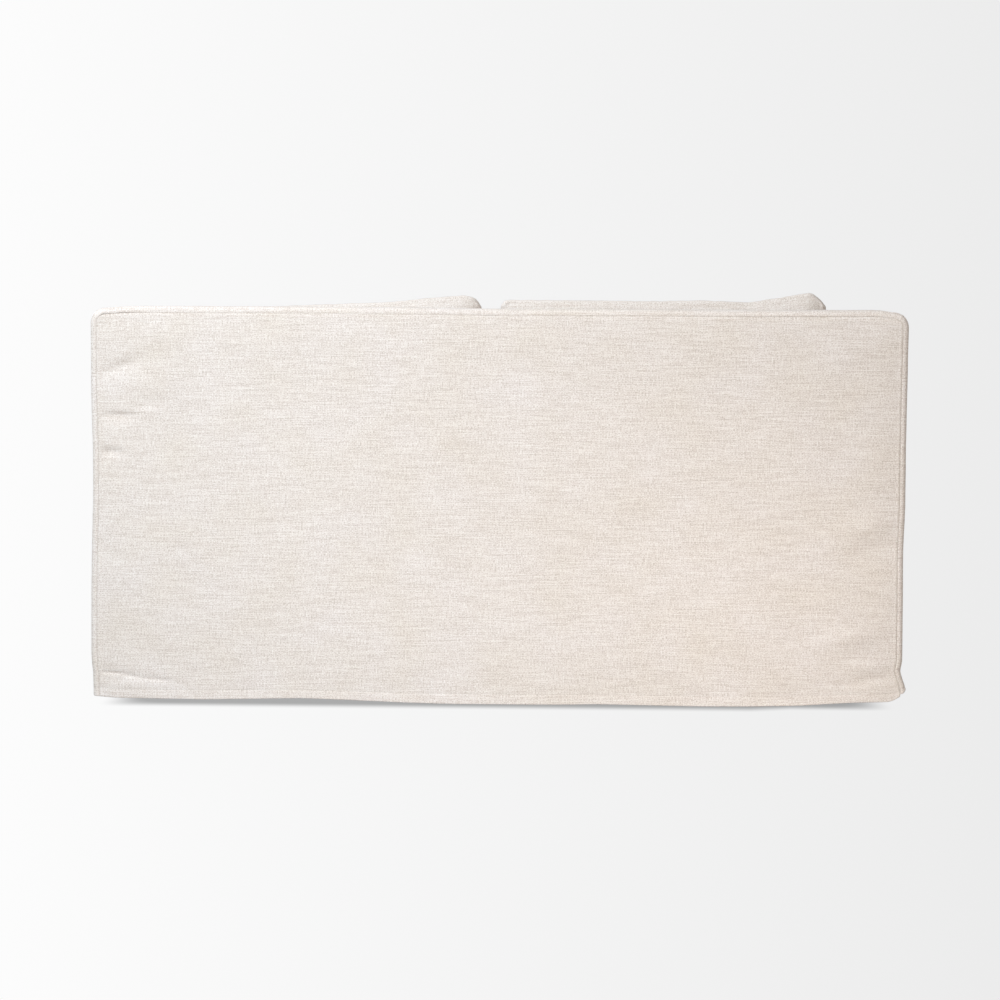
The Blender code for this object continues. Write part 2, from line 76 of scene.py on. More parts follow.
# How far the top rises above the back's height, up to the corners' turns: across, rise
TOP_TURN = 0.866
BACK_TOP = (
    (-0.866, -0.0036),
    (-0.845, -0.0016),
    (-0.820, -0.0002),
    (-0.770, 0.0004),
    (-0.440, 0.0009),
    (-0.130, -0.0002),
    (-0.040, -0.0018),
    (0.220, -0.0010),
    (0.450, -0.0012),
    (0.600, -0.0014),
    (0.835, 0.0000),
    (0.850, -0.0014),
    (0.866, -0.0046),
)
# Height of the hem above the floor: across, up
BACK_HEM = (
    (-0.890, 0.0122),
    (-0.850, 0.0094),
    (-0.810, 0.0090),
    (-0.650, 0.0071),
    (-0.435, 0.0118),
    (-0.320, 0.0086),
    (-0.210, 0.0043),
    (-0.100, 0.0018),
    (0.120, 0.0022),
    (0.230, 0.0042),
    (0.450, 0.0014),
    (0.570, 0.0022),
    (0.670, 0.0050),
    (0.760, 0.0111),
    (0.805, 0.0135),
    (0.872, 0.0150),
    (0.900, 0.0375),
)
# Troughs (depth above 0) and ridges (below 0): across, up, half length, half width above and below, turn from
# level, depth
CREASES = (
    (-0.828, 0.747, 0.062, 0.018, 0.022, 23, 0.0056),
    (-0.781, 0.707, 0.055, 0.024, 0.040, 15, -0.0034),
    (-0.836, 0.637, 0.044, 0.010, 0.016, 0, 0.0066),
    (-0.754, 0.663, 0.065, 0.012, 0.010, 11, 0.0018),
    (-0.857, 0.556, 0.034, 0.012, 0.016, 0, 0.0064),
    (-0.882, 0.838, 0.012, 0.005, 0.003, 35, 0.0024),
    (-0.868, 0.836, 0.014, 0.005, 0.003, 60, 0.0018),
    (-0.798, 0.844, 0.024, 0.004, 0.003, -14, 0.0020),
    (-0.777, 0.836, 0.020, 0.005, 0.004, 12, 0.0010),
    (-0.854, 0.0640, 0.032, 0.007, 0.004, -1, 0.0040),
    (-0.812, 0.0575, 0.026, 0.009, 0.006, -12, 0.0034),
    (-0.752, 0.0486, 0.034, 0.009, 0.006, -6, 0.0028),
    (-0.820, 0.0340, 0.090, 0.016, 0.060, 0, -0.0024),
    (0.810, 0.397, 0.085, 0.020, 0.024, 12, -0.0064),
    (0.825, 0.346, 0.060, 0.030, 0.030, 12, 0.0034),
    (0.785, 0.160, 0.085, 0.022, 0.030, 12, -0.0046),
    (0.815, 0.113, 0.060, 0.028, 0.020, 12, 0.0032),
    (0.822, 0.0625, 0.075, 0.024, 0.020, 12, 0.0050),
    (0.100, 0.300, 0.700, 0.220, 0.220, 3, 0.0025),
    (-0.350, 0.600, 0.450, 0.200, 0.200, -4, -0.0015),
)
# How hard the thread pulls along the top seam: across, pull
TOP_PULL = (
    (-0.890, 2.2),
    (-0.825, 1.8),
    (-0.795, 0.9),
    (-0.700, 0.3),
    (-0.080, 0.4),
    (-0.045, 1.3),
    (0.000, 1.3),
    (0.020, 0.3),
    (0.045, 0.3),
    (0.080, 0.7),
    (0.500, 0.9),
    (0.700, 1.0),
    (0.890, 1.0),
)


def lines(low, high, step, *finer):
    """Mesh lines from low to high, a step apart, and closer in each finer stretch: from, to, step."""
    ends = sorted({low, high} | {e for f in finer for e in f[:2] if low < e < high})
    made = [low]
    for a, b in zip(ends, ends[1:]):
        gap = min([step] + [f[2] for f in finer if f[0] < b and a < f[1]])
        count = ceil((b - a) / gap - 0.001)
        made += [a + (b - a) * k / count for k in range(1, count + 1)]
    return np.array(made)


# Mesh beside a seam: out to here, with this step, then out to there, with that one
BY_SEAM, SEAM_STEP, NEAR_SEAM, NEAR_STEP = 0.010, 0.0009, 0.030, 0.0035


def below_seam(high):
    """The two finer stretches below a seam."""
    return (high - NEAR_SEAM, high - BY_SEAM, NEAR_STEP), (high - BY_SEAM, high, SEAM_STEP)


def seamed(low, high, step, *finer):
    """Mesh lines from one seam to another, close together beside the seams."""
    near = (low, low + BY_SEAM, SEAM_STEP), (low + BY_SEAM, low + NEAR_SEAM, NEAR_STEP)
    return lines(low, high, step, *near, *below_seam(high), *finer)


def hemmed(top, step, *finer):
    """Mesh lines up a piece: below 0 the part turned up inside, then the hem, and the seam at the top."""
    hem = (-TURNED_UP, -0.006, 0.007), (-0.006, 0.0, SEAM_STEP), (0.0, 0.020, 0.004), (0.020, 0.027, 0.0012)
    return lines(-TURNED_UP, top, step, *hem, *below_seam(top), *finer)


def eased(at, rows, column=1, reach=0.006):
    """A table's column at these places, with the corners between its rows softened."""
    places, values = [row[0] for row in rows], [row[column] for row in rows]
    return sum(np.interp(at + reach * k, places, values) for k in (-1, -0.5, 0, 0.5, 1)) / 5


def share(value, low, high):
    """0 at low, 1 at high, and evenly between."""
    return np.clip((value - low) / (high - low), 0.0, 1.0)


def unevenness(a, b, size, seed):
    """Soft random relief from -1 to 1, whose lumps are about this size."""
    return np.array([noise.noise(Vector((p, q, seed))) for p, q in zip(a / size, b / size)])


def dent(a, b, crease):
    """How deep one trough is at each place."""
    across, up, long, above, below, turn, depth = crease
    t = radians(turn)
    x, z = a - across, b - up
    along, over = x * np.cos(t) + z * np.sin(t), z * np.cos(t) - x * np.sin(t)
    return depth * np.exp(-2 * ((along / long) ** 2 + (over / np.where(over > 0, above, below)) ** 2))


# The dip at a seam: depth, reach. The lip over its allowance: height, place, reach. Puckers: depth, length,
# reach.
DIP, DIP_REACH, LIP, LIP_AT, LIP_REACH = 0.0008, 0.0012, 0.0006, 0.0048, 0.0032
PUCKER, PUCKER_LENGTH, PUCKER_REACH = 0.0007, 0.016, 0.014


def seam_relief(from_seam, along_seam, seed, pull=1.0, allowance=1.0):
    """Cloth beside a seam: it dips into the stitching, stands up over the allowance, and puckers a little."""
    dip = DIP * pull * np.exp(-((from_seam / DIP_REACH) ** 2))
    lip = LIP * allowance * np.exp(-(((from_seam - LIP_AT) / LIP_REACH) ** 2))
    lumps = unevenness(along_seam, from_seam * 0.4, PUCKER_LENGTH, seed)
    pucker = PUCKER * lumps * np.exp(-from_seam / PUCKER_REACH)
    return dip - lip + pucker * share(from_seam, 0.0, 0.003)


def hung(up, hem):
    """Height and inward offset of cloth turned up inside at a hem: up is below 0 on the turned part."""
    height = np.where(up < HEM_EASE, hem + up * (HEM_EASE - hem) / HEM_EASE, up)
    bend = np.clip(-up / HEM_FOLD, 0.0, pi)
    turned = hem + HEM_FOLD * (1 - np.sin(bend)) + np.clip(-up - pi * HEM_FOLD, 0.0, None)
    height = np.where(up < 0, turned, np.maximum(height, hem + HEM_FOLD * (up <= 0)))
    return height, HEM_FOLD * (1 - np.cos(bend)) * (up < 0)


# The length of a blind stitch, the depth and reach of its line, and the height and length of the hem's waves
BLIND_STITCH, HEM_LINE, HEM_LINE_REACH, HEM_WAVE, HEM_WAVE_LENGTH = 0.0115, 0.0004, 0.0016, 0.0007, 0.030


def hem_relief(up, along, seed):
    """The line where the hem's top edge is caught by a blind stitch, dimpled at every stitch."""
    catch = 0.75 + 0.25 * np.cos(2 * pi * along / BLIND_STITCH)
    line = HEM_LINE * catch * np.exp(-(((up - HEM_DEPTH) / HEM_LINE_REACH) ** 2))
    wave = HEM_WAVE * unevenness(along, up * 0.5, HEM_WAVE_LENGTH, seed) * share(up, HEM_EASE, 0.0)
    return (line + wave) * (up > 0)


def rounded_off(to_side, to_top, size):
    """How far a panel's square corner is pulled in to a round one, from the distances to its two edges."""
    a, b = 1 - to_side / size, 1 - to_top / size
    corner = (a > 0) & (b > 0)
    a, b = np.where(corner, a, 0.0), np.where(corner, b, 0.0)
    return size * a * (1 - np.sqrt(1 - b * b / 2)), size * b * (1 - np.sqrt(1 - a * a / 2))


def cut_cloth(name, across, along, place, relief, outward, cut_away=None):
    """One sewn sheet: a grid of threads, laid where place() says and sunk by relief(), with the cloth's
    thickness inside. Its UV map is the flat cloth in metres."""
    bpy.ops.object.select_all(action="DESELECT")
    columns, rows = len(across) - 1, len(along) - 1
    bpy.ops.mesh.primitive_grid_add(x_subdivisions=columns, y_subdivisions=rows, size=1)
    piece = bpy.context.object
    piece.name = piece.data.name = name
    mesh = piece.data
    flat = np.zeros(len(mesh.vertices) * 3)
    mesh.vertices.foreach_get("co", flat)
    flat = flat.reshape(-1, 3)
    u = across[np.rint((flat[:, 0] + 0.5) * columns).astype(int)]
    v = along[np.rint((flat[:, 1] + 0.5) * rows).astype(int)]
    points, normals = place(u, v)
    points = points - normals * relief(u, v)[:, None] + np.array((0.0, BACK, FLOOR))
    mesh.vertices.foreach_set("co", points.ravel())
    mesh.uv_layers[0].name = "cloth"
    corners = np.zeros(len(mesh.loops), int)
    mesh.loops.foreach_get("vertex_index", corners)
    mesh.uv_layers["cloth"].data.foreach_set("uv", np.stack((u, v), 1)[corners].ravel())
    # The hem and the allowances below the upper seams are marked: the material paints them paler, partly for
    # the doubled cloth and partly as painted highlight.
    from_lower_edge = v - HEM_DEPTH if along[0] < 0 else v - along[0] - ALLOWANCE
    from_upper_edge = along[-1] - v - ALLOWANCE
    single = np.minimum(share(from_upper_edge, -0.001, 0.0), share(from_lower_edge, -0.001, 0.0))
    mesh.attributes.new("doubled_and_highlight", "FLOAT", "POINT").data.foreach_set("value", 1 - single)
    mesh.update()
    looks = sum((face.normal * face.area for face in mesh.polygons), Vector())
    bpy.context.tool_settings.mesh_select_mode = (False, False, True)
    for face in mesh.polygons:
        face.select = bool(cut_away) and cut_away(face.center)
    bpy.ops.object.mode_set(mode="EDIT")
    if cut_away:
        bpy.ops.mesh.delete(type="FACE")
    bpy.ops.mesh.select_all(action="SELECT")
    if looks.dot(Vector(outward)) < 0:
        bpy.ops.mesh.flip_normals()
    bpy.ops.object.mode_set(mode="OBJECT")
    thick = piece.modifiers.new("thickness", "SOLIDIFY")
    thick.thickness, thick.offset, thick.use_even_offset = CLOTH, -1.0, False
    bpy.ops.object.modifier_apply(modifier=thick.name)
    bpy.ops.object.shade_smooth()
    return piece


# Topstitching runs beside the seams, in a thread a little darker than the cloth, and painted darker still as
# shade for its needle holes. A thread is 0.5 mm thick, too fine to show, so it is drawn 0.8 mm thick.
STITCH_LENGTH, STITCH_PITCH, STITCH_INSET, THREAD_RADIUS = 0.0033, 0.0044, 0.0013, 0.0004
STITCH_START = 0.004  # how far above a hem's fold the topstitching starts
stitches = []  # the ends of each stitch and the way that the cloth faces there


def topstitch(place, relief, *corners):
    """Sews along a line on a piece: its corners are places on the flat cloth."""
    for (a, b), (c, d) in zip(corners, corners[1:]):
        length = hypot(c - a, d - b)
        count = max(1, round(length / STITCH_PITCH))
        middle, half = (np.arange(count) + 0.5) / count, STITCH_LENGTH / 2 / length
        ends = []
        for t in (middle - half, middle + half):
            u, v = a + (c - a) * t, b + (d - b) * t
            points, normals = place(u, v)
            ends.append(points - normals * relief(u, v)[:, None] + np.array((0.0, BACK, FLOOR)))
        stitches.append((ends[0], ends[1], normals))


def colour(hex_code, alpha=1.0):
    """An sRGB hex colour as linear numbers."""
    parts = [int(hex_code[k : k + 2], 16) / 255 for k in (0, 2, 4)]
    return (*[p / 12.92 if p <= 0.04045 else ((p + 0.055) / 1.055) ** 2.4 for p in parts], alpha)


def add_node(tree, kind, values=(), links=(), **settings):
    """Adds a node, sets its properties and sockets, and links sockets of other nodes into it."""
    node = tree.nodes.new(kind)
    for key, value in settings.items():
        setattr(node, key, value)
    for socket, value in dict(values).items():
        node.inputs[socket].default_value = value
    for socket, source in dict(links).items():
        tree.links.new(source, node.inputs[socket])
    return node


# Heavy linen-look upholstery cloth: plain weave of cotton and polyester, undyed cream with greyer and warmer
# threads. The weft has slubs, so the eye gets short level streaks, fainter upright ones and a dry, dull
# surface.
CREAM, SHADE_THREAD, LIGHT_THREAD = "F0E8E1", "D5CAC0", "FFFBF6"
# Patterns: length along the weft and along the warp in mm, detail, shift, slant in radians, and weight. A
# thread is under 1 mm thick, too fine to show, so each pattern is drawn one and a half to two threads wide.
# The slant keeps the starts of the long patterns out of line.
WEAVE = (
    (110.0, 1.4, 1.0, 11.3, 0.4, 0.25),  # long slubs
    (26.0, 1.4, 1.0, 3.7, 0.2, 0.17),  # short slubs
    (1.7, 26.0, 1.0, 5.9, -0.3, 0.17),  # warp threads
    (1.9, 2.4, 0.0, 8.3, 0.0, 0.10),  # short lengths of warp
    (3.6, 1.5, 0.0, 7.1, 0.0, 0.30),  # single crossings
)
# The dye takes a little unevenly, in patches of about this size
BLOTCH_MM = 130.0


def slub_cloth(name, light="FFFEFF", warm="F9F6F1"):
    """The cloth as a material. light and warm tint its patches."""
    cloth = bpy.data.materials.new(name)
    cloth.use_nodes = True
    tree = cloth.node_tree
    shader = tree.nodes["Principled BSDF"]
    threads = add_node(tree, "ShaderNodeUVMap", uv_map="cloth").outputs["UV"]

    def pattern(along, up, detail, shift, slant=0.0):
        sizes = {"Scale": [1000 / along, 1000 / up, 1.0], "Location": (shift, shift, 0)}
        sizes["Rotation"] = (0, 0, slant)
        place = add_node(tree, "ShaderNodeMapping", sizes, {"Vector": threads}).outputs["Vector"]
        look = {"Scale": 1.0, "Detail": detail, "Roughness": 0.6}
        noisy = add_node(tree, "ShaderNodeTexNoise", look, {"Vector": place}, noise_dimensions="2D")
        return noisy.outputs["Fac"]

    total = None
    for *threading, weight in WEAVE:
        links = {0: pattern(*threading), **({2: total} if total else {})}
        values = {1: weight} if total else {1: weight, 2: 0.0}
        total = add_node(tree, "ShaderNodeMath", values, links, operation="MULTIPLY_ADD").outputs[0]
    spread = {"From Min": 0.39, "From Max": 0.61}
    tone = add_node(tree, "ShaderNodeMapRange", spread, {"Value": total})
    ramp = add_node(tree, "ShaderNodeValToRGB", links={"Fac": tone.outputs[0]})
    ramp.color_ramp.elements[0].color = colour(SHADE_THREAD)
    ramp.color_ramp.elements[1].color = colour(LIGHT_THREAD)
    ramp.color_ramp.elements.new(0.5).color = colour(CREAM)
    tints = {6: colour(light), 7: colour(warm)}
    blotches = pattern(BLOTCH_MM, BLOTCH_MM, 1.0, 1.3)
    tint = add_node(tree, "ShaderNodeMix", tints, {0: blotches}, data_type="RGBA")
    both = {6: ramp.outputs["Color"], 7: tint.outputs[2]}
    mixed = add_node(tree, "ShaderNodeMix", {0: 1.0}, both, data_type="RGBA", blend_type="MULTIPLY")
    # Hems and seam allowances are two layers thick. Less shines through them, so they look paler, and the
    # paleness is also a painted highlight for light caught on the hem's bulge and on the lip below the upper
    # seams.
    doubled_and_highlight = add_node(tree, "ShaderNodeAttribute", attribute_name="doubled_and_highlight").outputs["Fac"]
    layers = {6: colour("FBFBFB"), 7: colour("FFFFFF")}
    layers = add_node(tree, "ShaderNodeMix", layers, {0: doubled_and_highlight}, data_type="RGBA")
    both = {6: mixed.outputs[2], 7: layers.outputs[2]}
    mixed = add_node(tree, "ShaderNodeMix", {0: 1.0}, both, data_type="RGBA", blend_type="MULTIPLY")
    tree.links.new(mixed.outputs[2], shader.inputs["Base Color"])
    relief = add_node(tree, "ShaderNodeBump", {"Strength": 0.30, "Distance": 0.0006}, {"Height": total})
    tree.links.new(relief.outputs["Normal"], shader.inputs["Normal"])
    shader.inputs["Roughness"].default_value = 0.92
    shader.inputs["Specular IOR Level"].default_value = 0.25
    shader.inputs["Sheen Weight"].default_value = 0.10
    shader.inputs["Sheen Roughness"].default_value = 0.5
    return cloth


cover_cloth = slub_cloth("linen-look slub weave")


def sewn_in(piece, node):
    """A finished sheet takes the cover's cloth, hangs from the root, and stands for its node."""
    piece.data.materials.append(cover_cloth)
    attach(piece, "root")
    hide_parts(node)


def end_out(side, up):
    """How far the back's ends stand out at these heights. side is -1 on the left and 1 on the right."""
    return np.where(side < 0, eased(up, BACK_ENDS, 1, 0.004), eased(up, BACK_ENDS, 2, 0.004))


def on_back(across, up, sway_from=0.600):
    """Where the back's outline is pulled to: its sides, its top and its round corners."""
    side = np.where(across < 0, -1.0, 1.0)
    rise = eased(np.clip(across, -TOP_TURN, TOP_TURN), BACK_TOP, 1, 0.012)
    in_side, in_top = rounded_off(SEAM_SIDE - abs(across), SEAM_TOP - up, SEAM_CORNER)
    up = up + rise * share(up, 0.700, SEAM_TOP)
    out = end_out(side, up) * share(abs(across), sway_from, SEAM_SIDE)
    return across + side * (out - in_side), up - in_top


def facing(way, count):
    """The same normal for every place."""
    return np.tile(np.array(way, float), (count, 1))


def outside_back_place(across, up):
    height, inward = hung(up, eased(across, BACK_HEM, 1, 0.012))
    x, z = on_back(across, height)
    return np.stack((x, inward, z), 1), facing((0, -1, 0), len(x))


def outside_back_relief(across, up):
    sides, top = SEAM_SIDE - abs(across), SEAM_TOP - up
    near = np.minimum(sides, top)
    pull = np.where(sides < top, SIDE_PULL, eased(across, TOP_PULL, 1, 0.01))
    made = seam_relief(near, np.where(sides < top, up, across), 2.0, pull)
    made = np.where(up < 0, 0.0, made + hem_relief(up, across, 4.0))
    level = np.maximum(up, 0.0)
    for crease in CREASES:
        made = made + dent(across, level, crease) * share(near, 0.0, 0.012)
    slack = 0.0011 * unevenness(across, level, 0.230, 1.0)
    slack = slack + 0.0005 * unevenness(across, level * 1.6, 0.090, 6.0)
    fullness = FULLNESS * np.sin(pi / 2 * share(near, 0.0, 0.070))
    return made + slack * share(near, 0.0, 0.060) - fullness


back_columns = seamed(-SEAM_SIDE, SEAM_SIDE, 0.0125, (-0.857, -0.700, 0.005), (0.720, 0.857, 0.007))
back_rows = hemmed(
    SEAM_TOP,
    0.0125,
    (0.027, 0.080, 0.0025),
    (0.080, 0.105, 0.005),
    (0.545, 0.575, 0.0025),
    (0.628, 0.660, 0.0022),
    (0.715, 0.775, 0.004),
    (0.820, 0.850, 0.003),
)
outside_back = cut_cloth(
    "outside_back_panel", back_columns, back_rows, outside_back_place, outside_back_relief, (0, -1, 0)
)
sewn_in(outside_back, "outside_back")
low, high, top = -SEAM_SIDE + STITCH_INSET, SEAM_SIDE - STITCH_INSET, SEAM_TOP - STITCH_INSET
corners = (low, STITCH_START), (low, top), (high, top), (high, STITCH_START)
topstitch(outside_back_place, outside_back_relief, *corners)


# ---- Boxing strips of the back ----
# A strip 0.16 m wide runs up one end of the back, over its top and down the other end. It is cut in three,
# with a seam in each top corner, and rolls over the edges of the back so that the seams lie on its faces.

BACK_DEPTH, ARM_HEIGHT = 0.160, 0.600
ROLL, TAIL = 0.010, 0.003  # radius of a strip's rolled edge, and the flat cloth from there to the seam
CORNER = 0.034  # radius of the top corners
TOP_CROWN = 0.002  # how far the middle of the top strip swells
ARM_BLEND = 0.020  # height over which the rear roll dies out above the arms
TURN_LENGTH = CORNER * pi / 2
# Height of the hem round each end: along the depth, up
LEFT_HEM = ((0.000, 0.0120), (0.060, 0.0160), (0.300, 0.0080), (0.620, 0.0110), (0.950, 0.0080))
RIGHT_HEM = (
    (0.000, 0.0315),
    (0.004, 0.0395),
    (0.008, 0.0415),
    (0.050, 0.0300),
    (0.130, 0.0120),
    (0.500, 0.0070),
    (0.950, 0.0090),
)


def whole(width):
    """The flat width of a strip that is this wide after its edges are rolled over."""
    return 2 * TAIL + pi * ROLL + width - 2 * ROLL


def rolled(across, width):
    """The section of a strip: how far in from its face, how far along its width, and how far its surface
    looks away from the face and along the width."""
    first = across < whole(width) / 2
    t = np.where(first, across, whole(width) - across)
    bend = np.clip((t - TAIL) / ROLL, 0.0, pi / 2)
    inset = ROLL * (1 - np.sin(bend)) + np.clip(TAIL - t, 0.0, None)
    along = ROLL * (1 - np.cos(bend)) + np.clip(t - TAIL - ROLL * pi / 2, 0.0, None)
    along = np.where(first, along, width - along)
    return inset, along, np.sin(bend), np.where(first, -1.0, 1.0) * np.cos(bend)


def strip_lines(width):
    """Mesh lines across a strip, close together on its rolled edges."""
    end, edge = whole(width), TAIL + ROLL * pi / 2
    near = (0.0, 0.005, 0.0008), (0.005, edge, 0.0017)
    far = (end - edge, end - 0.005, 0.0017), (end - 0.005, end, 0.0008)
    return lines(0.0, end, 0.012, *near, *far)


def strip_relief(across, width, along, seed):
    """A strip's long seams and its soft lumps."""
    near = np.minimum(across, whole(width) - across)
    soft = 0.0006 * unevenness(across, along, 0.060, seed + 0.5)
    return seam_relief(near, along, seed, 0.2, 0.0) + soft * share(near, 0.0, 0.030)


def side_path(side, up):
    """The line of a side strip, from the hem to the middle of the top corner, and the way it faces there."""
    middle_up = BACK_HEIGHT + eased(np.array([side * TOP_TURN]), BACK_TOP, 1, 0.012)[0] - CORNER
    middle_out = WIDTH / 2 + end_out(side, np.array([middle_up]))[0] - CORNER
    bend = np.clip((up - middle_up) / CORNER, 0.0, pi / 2)
    straight = WIDTH / 2 + end_out(side, np.minimum(up, middle_up))
    across = np.where(up < middle_up, straight, middle_out + CORNER * np.cos(bend))
    return side * across, np.where(up < middle_up, up, middle_up + CORNER * np.sin(bend)), bend


STRIP_TOP = BACK_HEIGHT - CORNER + TURN_LENGTH / 2
for word, side, hem in (("left", -1, LEFT_HEM), ("right", 1, RIGHT_HEM)):

    def side_strip_place(across, up):
        inset, along, _, n_along = rolled(across, BACK_DEPTH)
        height, fold = hung(up, eased(along, hem, 1, 0.002))
        rolls = np.where(along > BACK_DEPTH / 2, share(height, ARM_HEIGHT, ARM_HEIGHT + ARM_BLEND), 1.0)
        inset, n_along = inset * rolls, n_along * rolls
        x, z, bend = side_path(side, height)
        out = np.stack((side * np.cos(bend), 0 * bend, np.sin(bend)), 1)
        normals = out * np.sqrt(1 - n_along**2)[:, None] + np.outer(n_along, (0.0, 1.0, 0.0))
        return np.stack((x, along, z), 1) - out * inset[:, None] - normals * fold[:, None], normals

    def side_strip_relief(across, up):
        made = strip_relief(across, BACK_DEPTH, up, 8.0 + side)
        made = np.where(up < 0, 0.0, made + hem_relief(up, across, 9.0))
        return made + seam_relief(STRIP_TOP - up, across, 3.0, 0.6)

    rows = hemmed(STRIP_TOP, 0.012, (0.027, 0.105, 0.005))
    piece = cut_cloth(
        "side_strip_" + word, strip_lines(BACK_DEPTH), rows, side_strip_place, side_strip_relief, (side, 0, 0)
    )
    sewn_in(piece, "back_side_band_" + word)

TOP_STRAIGHT = WIDTH / 2 - CORNER
TOP_END = TOP_STRAIGHT + TURN_LENGTH / 2


def top_strip_place(along, across):
    inset, depth, n_out, n_along = rolled(across, BACK_DEPTH)
    side = np.where(along < 0, -1.0, 1.0)
    bend = np.clip((abs(along) - TOP_STRAIGHT) / CORNER, 0.0, pi / 2)
    top = BACK_HEIGHT + eased(np.clip(along, -TOP_TURN, TOP_TURN), BACK_TOP, 1, 0.012)
    end = end_out(side, top - CORNER) * share(abs(along), 0.600, TOP_STRAIGHT)
    x = side * (np.minimum(abs(along), TOP_STRAIGHT) + end + CORNER * np.sin(bend))
    out = np.stack((side * np.sin(bend), 0 * bend, np.cos(bend)), 1)
    crown = TOP_CROWN * np.sin(pi * depth / BACK_DEPTH) * share(TOP_END - abs(along), 0.0, 0.060)
    normals = out * n_out[:, None] + np.outer(n_along, (0.0, 1.0, 0.0))
    points = np.stack((x, depth, top - CORNER * (1 - np.cos(bend))), 1) - out * (inset - crown)[:, None]
    return points, normals


def top_strip_relief(along, across):
    made = strip_relief(across, BACK_DEPTH, along, 12.0)
    return made + seam_relief(TOP_END - abs(along), across, 5.0, 0.6)


top_strip = cut_cloth(
    "top_strip",
    seamed(-TOP_END, TOP_END, 0.0125),
    strip_lines(BACK_DEPTH),
    top_strip_place,
    top_strip_relief,
    (0, 0, 1),
)
sewn_in(top_strip, "back_top_band")


# ---- Inside back ----
# The panel behind the cushions. It is sewn to the strips above the arms, cut out round the arms, and sewn to
# their inner panels and to the platform below.

SEAT_HALF, DECK_HEIGHT = 0.750, 0.300
DECK_SEAM, ARM_SEAM = DECK_HEIGHT - 0.0025, ARM_HEIGHT - 0.0025


def inside_back_place(across, up):
    x, z = on_back(across, up, SEAT_HALF)
    side = np.where(across < 0, -1.0, 1.0)
    wider = SEAM_INSET - np.maximum(0.0035, SEAM_INSET * share(up, ARM_HEIGHT, ARM_HEIGHT + ARM_BLEND))
    x = x + side * wider * share(abs(across), SEAT_HALF, SEAM_SIDE)
    return np.stack((x, 0 * x + BACK_DEPTH, z), 1), facing((0, 1, 0), len(x))


def inside_back_relief(across, up):
    arms = abs(across) > SEAT_HALF
    sides = np.where(arms, SEAM_SIDE, np.where(up < ARM_SEAM, SEAT_HALF, 9.0)) - abs(across)
    levels = np.minimum(SEAM_TOP - up, up - np.where(arms, ARM_SEAM, DECK_SEAM))
    near = np.clip(np.minimum(sides, levels), 0.0, None)
    slack = 0.0014 * unevenness(across, up, 0.200, 21.0) + 0.0005 * unevenness(across, up, 0.080, 22.0)
    made = seam_relief(near, np.where(sides < levels, up, across), 20.0, 0.7)
    return made + slack * share(near, 0.0, 0.060)


arm_edges = [(side * SEAT_HALF - 0.010, side * SEAT_HALF + 0.010, 0.002) for side in (-1, 1)]
arm_tops = (ARM_SEAM, ARM_SEAM + 0.025, 0.0025), (ARM_SEAM - 0.025, ARM_SEAM, 0.005)
inside_back = cut_cloth(
    "inside_back_panel",
    seamed(-SEAM_SIDE, SEAM_SIDE, 0.015, *arm_edges, (-SEAT_HALF, SEAT_HALF, 0.015)),
    seamed(DECK_SEAM, SEAM_TOP, 0.014, *arm_tops),
    inside_back_place,
    inside_back_relief,
    (0, 1, 0),
    lambda centre: abs(centre.x) > SEAT_HALF and centre.z < ARM_SEAM + FLOOR,
)
sewn_in(inside_back, "inside_back")
corners = (low, ARM_SEAM + 0.025), (low, top), (high, top), (high, ARM_SEAM + 0.025)
topstitch(inside_back_place, inside_back_relief, *corners)


# ---- Arms ----
# Each arm has an outer panel down to the hem, an inner panel down to the platform, and a boxing strip as wide
# as the arm. The strip runs forward over the arm and is joined below the front corner to a front panel with a
# hem.

DEPTH, ARM_WIDTH = 0.950, 0.150
GAP = 0.0003  # between neighbouring pieces
ARM_FRONT_SEAM, ARM_TOP_SEAM = DEPTH - SEAM_INSET, ARM_HEIGHT - SEAM_INSET
ARM_START = BACK_DEPTH + GAP
ARM_TURN = DEPTH - CORNER
FRONT_JOIN = ARM_HEIGHT - CORNER - TAIL
# Height of the hem along the front: across, up
FRONT_HEM = ((-0.900, 0.0080), (-0.400, 0.0060), (0.150, 0.0090), (0.900, 0.0090))

